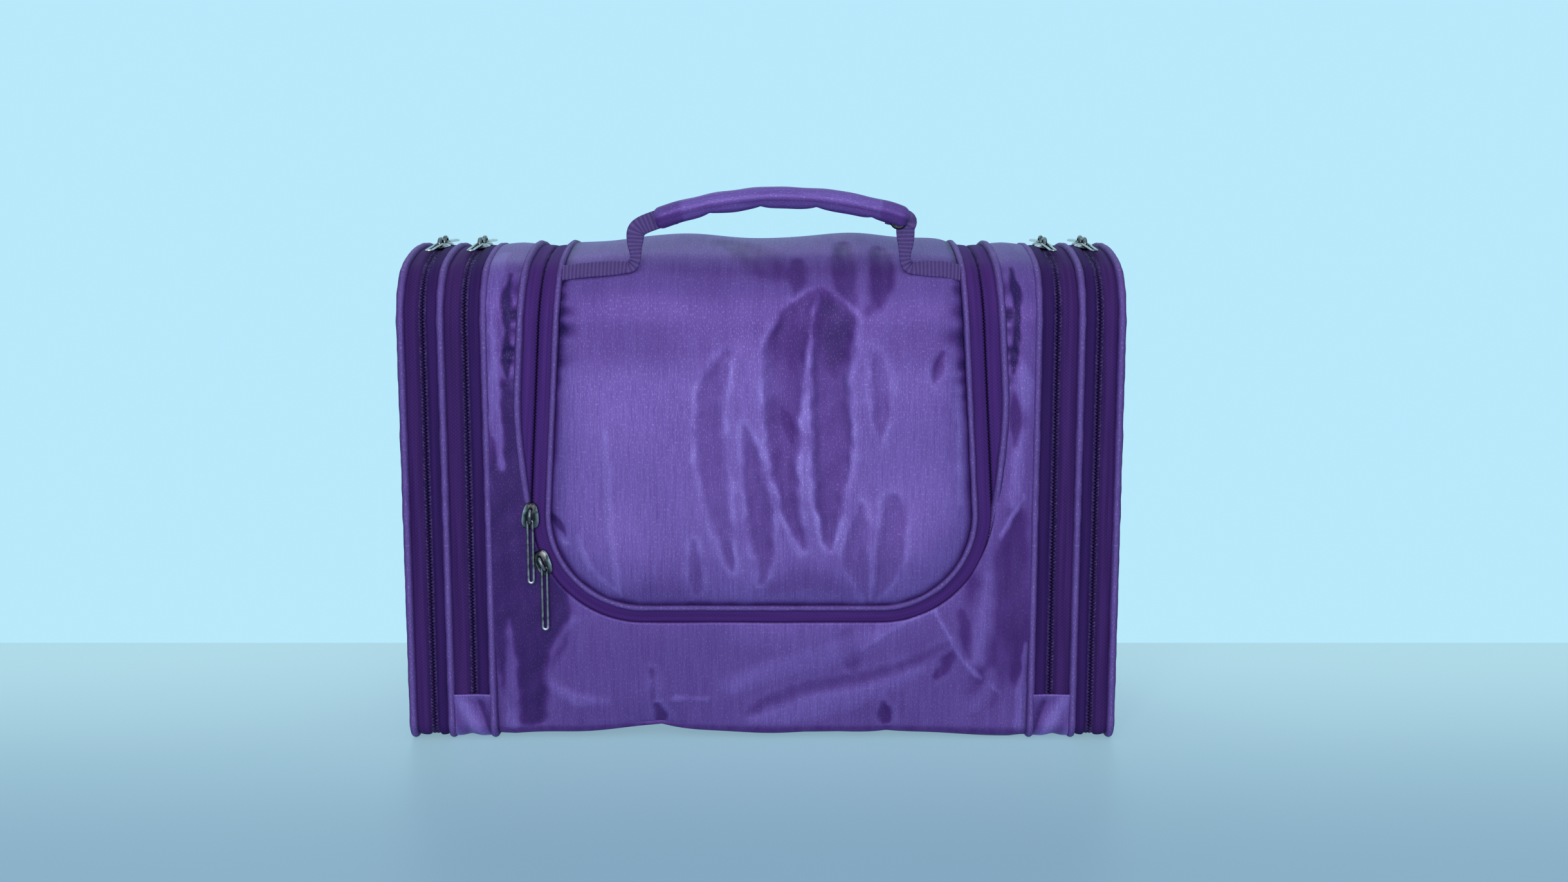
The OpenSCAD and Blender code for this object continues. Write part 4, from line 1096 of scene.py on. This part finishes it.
# The handle: ribbed webbing sewn flat to the flap's upper corners, turned up and run through a padded satin
# grip. A press stud sits under the grip's right end.
to_right, to_back, to_top = np.eye(3)
web_seen = 8.2 * mm
web_t = 1.5 * mm
web_turn = math.radians(40)
strap_s = crown_end + top_r * (web_turn - crown_a)
web_sway = 4 * mm
strap_feet = ((87.5 * mm, 0), (80 * mm, 0.3), (73 * mm, 0.7), (66 * mm, 1))
strap_lift_x = 61.5 * mm
strap_foot_x = 59.2 * mm
strap_mid_x = 59.4 * mm
strap_mid_z = 226 * mm
strap_bend_x = 57.5 * mm
strap_bend_z = 232 * mm
handle_y = -51.93 * mm
grip_r = 4.8 * mm
grip_l = 115 * mm
grip_shift = 9.5 * mm
grip_end_z = 235.4 * mm
grip_rise = 8.4 * mm
grip_line_r = (grip_l ** 2 / 4 + grip_rise ** 2) / (2 * grip_rise)
pad_l = 110.5 * mm
pad_shift = 8.9 * mm
dark_end_l = 13 * mm
nick_places = np.array([24, 47, 72, 97]) * mm
pad_seams = (1.55, 4.50)
nickel_dark = (0.014, 0.015, 0.017, 1)
nickel_light = (0.045, 0.047, 0.050, 1)
# Pale nickel where rubbing wears it and where highlights are painted on rims and ridges.
nickel_rub_highlight = (0.70, 0.62, 0.62, 1)
rib_pitch = 1.7 * mm
webbing_dark = (0.062, 0.029, 0.150, 1)
webbing_light = (0.160, 0.096, 0.330, 1)


def webbing_material():
    """Woven webbing: ribs across its length, fine threads along it, paler on the ribs."""
    material, tree, shader = new_material("ribbed_webbing")
    layout = cloth_layout(tree)
    along = linked(tree, "ShaderNodeSeparateXYZ", {0: layout}).outputs["Y"]
    rib = scaled(tree, maths(tree, "SINE", scaled(tree, along, 2 * math.pi / rib_pitch)), 0.5, 0.5)
    thread = noise(tree, drawn_out(tree, layout, 2600, 300), 1.0, 1.0)
    tone = scaled(tree, rib, 0.6, scaled(tree, thread, 0.5), clamp=True)
    bumped(tree, shader, scaled(tree, thread, 0.4, rib), 0.8, 0.35 * mm)
    colour = mixed(tree, tone, webbing_dark, webbing_light)
    fill(tree, shader, {"Base Color": colour, "Roughness": 0.6, "Specular IOR Level": 0.25})
    return material


webbing = webbing_material()


def ribbon_grid(path, wide_way, width, thick):
    """A flat strap along a path: a thin rounded rectangle whose long side lies along wide_way."""
    ahead = unit(np.gradient(path, axis=0))
    wide = unit(wide_way - ahead * np.sum(wide_way * ahead, axis=1, keepdims=True))
    face = np.cross(ahead, wide)
    t = np.linspace(-1, 1, 13)
    edge_round = np.sqrt(1 - 0.75 * np.abs(t) ** 8)
    across = np.outer(np.broadcast_to(width, len(path)), np.concatenate([t, t[::-1]]) / 2)
    out = np.concatenate([edge_round, -edge_round[::-1]]) * thick / 2
    points = path[:, None] + wide[:, None] * across[..., None] + face[:, None] * out[:, None]
    run = length_along(path)
    layout = flat_of(np.append(across, across[:, :1], axis=1), run[:, None])
    return grid(points, layout, closed_columns=True, flip=True)


def on_flap(x, s, lift):
    """A point on the flap's padded surface, lifted off it."""
    return on_wall(x, s, flap_rise(np.array([x]), np.array([s]))[0][0] + lift)


slope = np.array([0, -math.cos(web_turn), -math.sin(web_turn)])
for side, side_name in both_sides:
    grip_end = pad_shift + side * pad_l / 2
    foot = [on_flap(side * x + sway * web_sway, strap_s, web_t / 2 + 0.1 * mm) for x, sway in strap_feet]
    lift = on_flap(side * strap_lift_x + web_sway, strap_s, web_t / 2 + 0.5 * mm)
    bend_foot = np.array([side * strap_foot_x + web_sway, lift[1] - 0.4 * mm, lift[2] + 3.4 * mm])
    rise_mid = np.array([side * strap_mid_x + web_sway, handle_y - 0.5 * mm, strap_mid_z])
    bend_half = 0.52 * (side * strap_bend_x + grip_end)
    rise_bend = np.array([max(side * strap_bend_x, bend_half), handle_y, strap_bend_z])
    rise_top = np.array([grip_end - side * 0.5 * mm, handle_y, grip_end_z + 0.4 * mm])
    inside = np.array([grip_end - side * 9 * mm, handle_y, grip_end_z + 2.6 * mm])
    path = eased(foot + [lift, bend_foot, rise_mid, rise_bend, rise_top, inside], 140)
    ahead = unit(np.gradient(path, axis=0))
    turned = np.clip(np.hypot(ahead[:, 1], ahead[:, 2]) * 1.2 - 0.1, 0, 1)
    turned = np.maximum.accumulate(turned)[:, None]
    wide_way = slope * (1 - turned) + side * np.cross(ahead, to_back) * turned
    bend_way = np.linalg.norm(path - bend_foot, axis=1)
    strap_w = web_seen * (1 - 0.42 * bell(bend_way, 7 * mm))
    strap = skin(f"{side_name}_strap", [ribbon_grid(path, wide_way, strap_w, web_t)], [webbing])
    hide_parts(side_name + "_handle_end", "handle_webbing")
    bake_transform(strap)

pad_ends = (np.array([-0.5, 0.5]) * pad_l + pad_shift - grip_shift) / grip_line_r
grip_angle = np.linspace(*np.arcsin(pad_ends), 150)
grip_path = np.stack([grip_shift + grip_line_r * np.sin(grip_angle), np.full(150, handle_y),
                      grip_end_z + grip_rise - grip_line_r * (1 - np.cos(grip_angle))], axis=1)
grip_path[:, 2] += 1.6 * mm * (1 - np.linspace(-1, 1, 150) ** 2)
grip_up = np.stack([np.sin(grip_angle), np.zeros(150), np.cos(grip_angle)], axis=1)
grip_run = length_along(grip_path)
grip_turn = ring_turns(28)
under = np.clip(-np.cos(grip_turn), 0, 1) ** 2
nicks = fade(np.abs(grip_run[:, None] - nick_places), 3.2 * mm).sum(axis=1)
seam_dip = sum(bell(grip_turn - seam_turn, 0.22) for seam_turn in pad_seams)
ends = np.minimum(grip_run, grip_run[-1] - grip_run)
taper = np.sqrt(1 - (1 - ramp(ends, 0, 3 * mm)) ** 2 * 0.55)
swell = taper[:, None] * (1 - 0.26 * nicks[:, None] * under - 0.08 * seam_dip)
swell = swell + undulation(grip_run[:, None], grip_turn * 4 * mm, 51, 16 * mm, 0.03)
grip_swell = grip_r * swell
grip_points = sweep(grip_path, grip_up, grip_swell * np.sin(grip_turn), grip_swell * np.cos(grip_turn))
# The grip's tone: painted shade on its underside and in its seams, and darker towards both ends.
dark_ends = ramp(ends[:, None], dark_end_l, dark_end_l - 1.5 * mm)
grip_shade = np.clip(-0.05 - 0.5 * dark_ends - 0.35 * under - 0.8 * seam_dip, -1, 0)
grip_flat = flat_of(grip_r * np.append(grip_turn, 2 * math.pi), grip_run[:, None])
grip = skin("grip_cloth", [grid(grip_points, grip_flat, grip_shade, closed_columns=True)], [satin])
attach(grip, "handle")
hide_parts("handle_grip")


def nickel_material():
    """Dark nickel plate, cloudier in its grain, and pale where rubbing wears it and where a highlight is
    painted.
    """
    material, tree, shader = new_material("dark_nickel")
    grain = noise(tree, object_place(tree), 420.0, 4.0)
    plate = mixed(tree, grain, nickel_dark, nickel_light)
    rub_highlight = linked(tree, "ShaderNodeAttribute", {}, attribute_name="fold").outputs["Fac"]
    rub_highlight = scaled(tree, rub_highlight, stepped(tree, grain, 0.2, 0.6), clamp=True)
    colour = mixed(tree, rub_highlight, plate, nickel_rub_highlight)
    fill(tree, shader, {"Base Color": colour, "Roughness": scaled(tree, grain, 0.08, 0.07), "Metallic": 1.0})
    return material


nickel = nickel_material()


def lathe_grid(profile, middle, axis, side_way):
    """A turned form: a profile of (radius, height) pairs in mm, spun about an axis through its middle."""
    turn = ring_turns(28)
    other = np.cross(axis, side_way)
    spun = np.cos(turn)[:, None] * side_way + np.sin(turn)[:, None] * other
    profile = np.array(profile) * mm
    points = middle + profile[:, None, 1:] * axis + profile[:, None, :1] * spun
    return grid(points, closed_columns=True, flip=True)


stud_low, stud_high = np.array(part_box("press_stud"))
stud_middle = (stud_low + stud_high) / 2 + np.array([-2.4, 0, 1.4]) * mm
stud_middle[1] = stud_high[1]
stud_profile = ((0.01, 0), (3.6, 0), (3.9, 0.3), (3.9, 0.9), (3.5, 1.4), (3.0, 1.5), (2.6, 1.2), (1.8, 1.2),
                (1.3, 1.7), (0.7, 2.0), (0.01, 2.1))
stud_grid = lathe_grid(stud_profile, stud_middle, -to_back, to_right)
stud = skin("stud_cap", [stud_grid], [nickel])
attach(stud, "handle")
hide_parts("press_stud")

# The sliders and pulls: cast shields of dark nickel with an arched bridge, two to each zip.
# Each bridge carries a long narrow wire pull.
slider_l = 12 * mm
slider_w = 9 * mm
slider_tail_w = 7 * mm
channel = 1.2 * mm
plate_t = 1.1 * mm
bridge_half = 3.3 * mm
bridge_h = 2.4 * mm
bridge_r = 1.0 * mm
bar_slip = 1.95 * mm
bar_z = 3.3 * mm
pull_half = 1.15 * mm
pull_l = 29 * mm
pull_r = 0.6 * mm
pull_bend = 0.8 * mm
slider_out = 6.5 * mm
slider_sink = 2.7 * mm
upper_slider_z = 105 * mm
lower_slider_a = math.radians(25.6)


def plate_points(low, high, dome):
    """A shield-shaped plate, domed on one face: rings shrink from its rounded edge to each face's middle."""
    turn = ring_turns(32)
    plan_y = np.sign(np.sin(turn)) * np.abs(np.sin(turn)) ** 0.7 * slider_l / 2
    width = slider_tail_w + (slider_w - slider_tail_w) * np.clip(0.5 + plan_y / slider_l * 1.5, 0, 1)
    plan_x = np.sign(np.cos(turn)) * np.abs(np.cos(turn)) ** 0.7 * width / 2
    share = np.array([0.01, 0.5, 0.86, 0.97, 1.0, 1.0, 0.97, 0.86, 0.5, 0.01])
    thick = high - low
    level = low + thick * np.array([0, 0, 0, 0.08, 0.3, 0.7, 0.92, 1.0, 1.0, 1.0])
    level = level + dome * np.array([0, 0, 0, 0, 0, 0, 0.1, 0.35, 0.8, 1.0])
    x, y = share[:, None] * plan_x, share[:, None] * plan_y
    return np.stack([x, y, np.broadcast_to(level[:, None], x.shape)], axis=-1)


def place_in(points, frame_at):
    """Local points (across, along, out) carried to a frame given as its origin and three directions."""
    origin, across, along, out = frame_at
    return origin + points[..., :1] * across + points[..., 1:2] * along + points[..., 2:] * out


def slider_piece(name, frame_at):
    """A slider: two plates joined by a post in the coil's slit, and a bridge arching over the upper one."""
    lower = plate_points(-channel - plate_t, -channel, 0.0)
    upper = plate_points(channel, channel + plate_t, 1.2 * mm)
    turn = np.linspace(0, math.pi, 30)
    lift = (bridge_h + 1.0 * mm) * np.abs(np.sin(turn)) ** 0.7
    arch = np.stack([0 * turn, -bridge_half * np.cos(turn), channel + plate_t * 0.8 + lift], axis=1)
    arch_out = np.stack([0 * turn, -np.cos(turn), np.sin(turn)], axis=1)
    ring = ring_turns(10)
    # The upper plate's rim and the top of the bridge are paler: partly wear, partly painted highlight.
    edge_rub_highlight = np.outer([0, 0, 0, 0.1, 0.4, 0.9, 1.0, 0.8, 0, 0], np.cos(ring_turns(32)) ** 2)
    arch_grid = sweep(arch, arch_out, bridge_r * np.sin(ring), bridge_r * 0.85 * np.cos(ring))
    arch_rub_highlight = 0.35 * np.maximum(np.cos(ring), 0) ** 2
    post = np.array([[-1, -1], [1, -1], [1, 1], [-1, 1]]) * np.array([0.4, 1.5]) * mm
    post_points = np.stack([np.column_stack([post, np.full(4, z)]) for z in (-channel, channel)])
    grids = [grid(place_in(lower, frame_at), closed_columns=True, flip=True),
             grid(place_in(upper, frame_at), fold=edge_rub_highlight, closed_columns=True, flip=True),
             grid(place_in(arch_grid, frame_at), fold=arch_rub_highlight, closed_columns=True),
             grid(place_in(post_points, frame_at), closed_columns=True, flip=True)]
    return skin(name, grids, [nickel])


def circle(turn):
    """The points at these turns on a circle of radius 1."""
    return np.stack([np.cos(turn), np.sin(turn)], axis=1)


def pull_piece(name, frame_at):
    """A pull: one closed loop of wire, square where it passes through the bridge and round at its far end."""
    bow_y = pull_half - pull_l + pull_r
    nose = (0, bow_y) - pull_half * circle(np.linspace(0, math.pi, 22))
    leg = np.column_stack([np.full(29, pull_half), np.linspace(bow_y, -pull_bend, 30)[1:]])
    corner = (pull_half - pull_bend, -pull_bend) + pull_bend * circle(np.linspace(0, math.pi / 2, 6)[1:])
    half = np.concatenate([leg, corner])
    loop = np.concatenate([nose, half, half[:0:-1] * (-1, 1)])
    wire = np.column_stack([loop, np.zeros(len(loop))])
    ring = ring_turns(10)
    tube = sweep(wire, np.array([0, 0, 1.0]), pull_r * np.sin(ring), pull_r * np.cos(ring), closed=True)
    # Paler towards the far end of the loop, partly wear and partly painted highlight.
    highlight_share = 0.5 + 0.5 * fade(wire[:, 1:2] - wire[:, 1].min(), 3 * mm)
    wire_grid = grid(place_in(tube, frame_at), fold=highlight_share, closed_rows=True, closed_columns=True)
    return skin(name, [wire_grid], [nickel])


slider_frames = {}
for side, side_name in both_sides:
    for row_x, row_name in ((inner_zip_x, "inner"), (outer_zip_x, "outer")):
        for end, end_name in ((-1, "front"), (1, "rear")):
            turn = slider_out / crown_r
            out = np.array([0, end * math.sin(turn), math.cos(turn)])
            along = np.array([0, -end * math.cos(turn), math.sin(turn)])
            place = np.array([side * row_x, 0, case_h - crown_r]) + (crown_r - slider_sink) * out
            slider_frame = (place, np.cross(along, out), along, out)
            pull_frame = (place + bar_z * out - bar_slip * along, np.cross(along, out), along, out)
            slider_frames[f"{side_name}_{row_name}_{end_name}"] = (slider_frame, pull_frame)
front_way = -to_back
front_y = 1.9 * mm - case_d / 2
lower_spot = (-bend_x - flap_corner_r * math.cos(lower_slider_a),
              leg_z - flap_corner_r * math.sin(lower_slider_a))
for name, (x, z), turn, slip in (("upper", (-leg_half, upper_slider_z), math.pi - leg_a, bar_slip),
                                 ("lower", lower_spot, lower_slider_a, -bar_slip)):
    along = np.array([-math.sin(turn), 0, math.cos(turn)])
    place = np.array([x, front_y, z])
    slider_frame = (place, np.cross(along, front_way), along, front_way)
    pull_frame = (place + bar_z * front_way + slip * along, to_right, to_top, front_way)
    slider_frames[name] = (slider_frame, pull_frame)
for name, (slider_frame, pull_frame) in slider_frames.items():
    slider = slider_piece(name + "_shield", slider_frame)
    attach(slider, name + "_zip_slider")
    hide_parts(name + "_slider")
    pull = pull_piece(name + "_wire", pull_frame)
    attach(pull, name + "_zip_pull")
    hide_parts(name + "_pull")

# The hanging hook: a wire hook welded to a ring that turns in a webbing tab sewn to the back.
# It hangs down flat against the back, and swings up over the top for use.
hook_y = 62.8 * mm
wall_inset = 0.8 * mm
loop_z = 186 * mm
tab_l = 18 * mm
tab_r = 2.7 * mm
tab_w = 14 * mm
tab_t = 1.2 * mm
ring_half = 9.5 * mm
ring_l = 12 * mm
ring_r = 1.6 * mm
hook_r = 17 * mm
hook_wire_r = 2.0 * mm
shank_l = 24 * mm
eye_l = ring_l + math.hypot(shank_l, hook_r)
shank_a = math.radians(270) - math.atan2(shank_l, hook_r)
tip_a = math.radians(-20)
tip_r = 3.2


def hook_wire(path, radius, closed=False):
    """A round wire in the hook's plane, hanging from the ring's bar: across as given, downwards for along."""
    centres = np.column_stack([path[:, 0], np.full(len(path), hook_y), loop_z - path[:, 1]])
    # The wire takes a cord's painted highlight along its outer side.
    return cord_grid(centres, to_back, radius, 12, closed)


quarter = ring_r * circle(np.linspace(0, math.pi / 2, 7))
ring_corners = []
for quadrant, (x, y) in enumerate(((1, 1), (-1, 1), (-1, -1), (1, -1))):
    spin = math.pi / 2 * quadrant
    spun = quarter @ np.array([[math.cos(spin), math.sin(spin)], [-math.sin(spin), math.cos(spin)]])
    ring_corners.append(spun + (x * (ring_half - ring_r), ring_l / 2 + y * (ring_l / 2 - ring_r)))
bend_path = hook_r * circle(np.linspace(shank_a, tip_a, 60)) + (0, eye_l)
shank_path = np.linspace((0, ring_l), bend_path[0], 14)[:-1]
tip_profile = tip_r * circle(np.linspace(-math.pi / 2 + 0.01, math.pi / 2 - 0.01, 16))
tip_middle = np.array([bend_path[-1, 0], hook_y, loop_z - bend_path[-1, 1]])
hook_grids = [hook_wire(np.concatenate(ring_corners), ring_r, True),
              hook_wire(np.concatenate([shank_path, bend_path]), hook_wire_r),
              lathe_grid(tip_profile, tip_middle, to_back, to_right)]
hook = skin("hook_wire", hook_grids, [nickel])
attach(hook, "hook")
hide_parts("hanging_hook")

tab_y = case_d / 2 - wall_inset + 0.9 * mm
tab_up = np.stack([np.full(24, tab_y), np.linspace(loop_z - tab_l, loop_z - 2.0 * mm, 24)], axis=1)
tab_round = (hook_y, loop_z) + tab_r * circle(math.pi - np.linspace(-0.5, 4.6, 60))
tab_path = np.concatenate([tab_up, tab_round])
tab_path = np.column_stack([np.zeros(len(tab_path)), tab_path])
tab = skin("hook_tab_webbing", [ribbon_grid(tab_path, to_right, tab_w, tab_t)], [webbing])
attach(tab, "main_body")
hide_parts("hook_tab")

low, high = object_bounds()
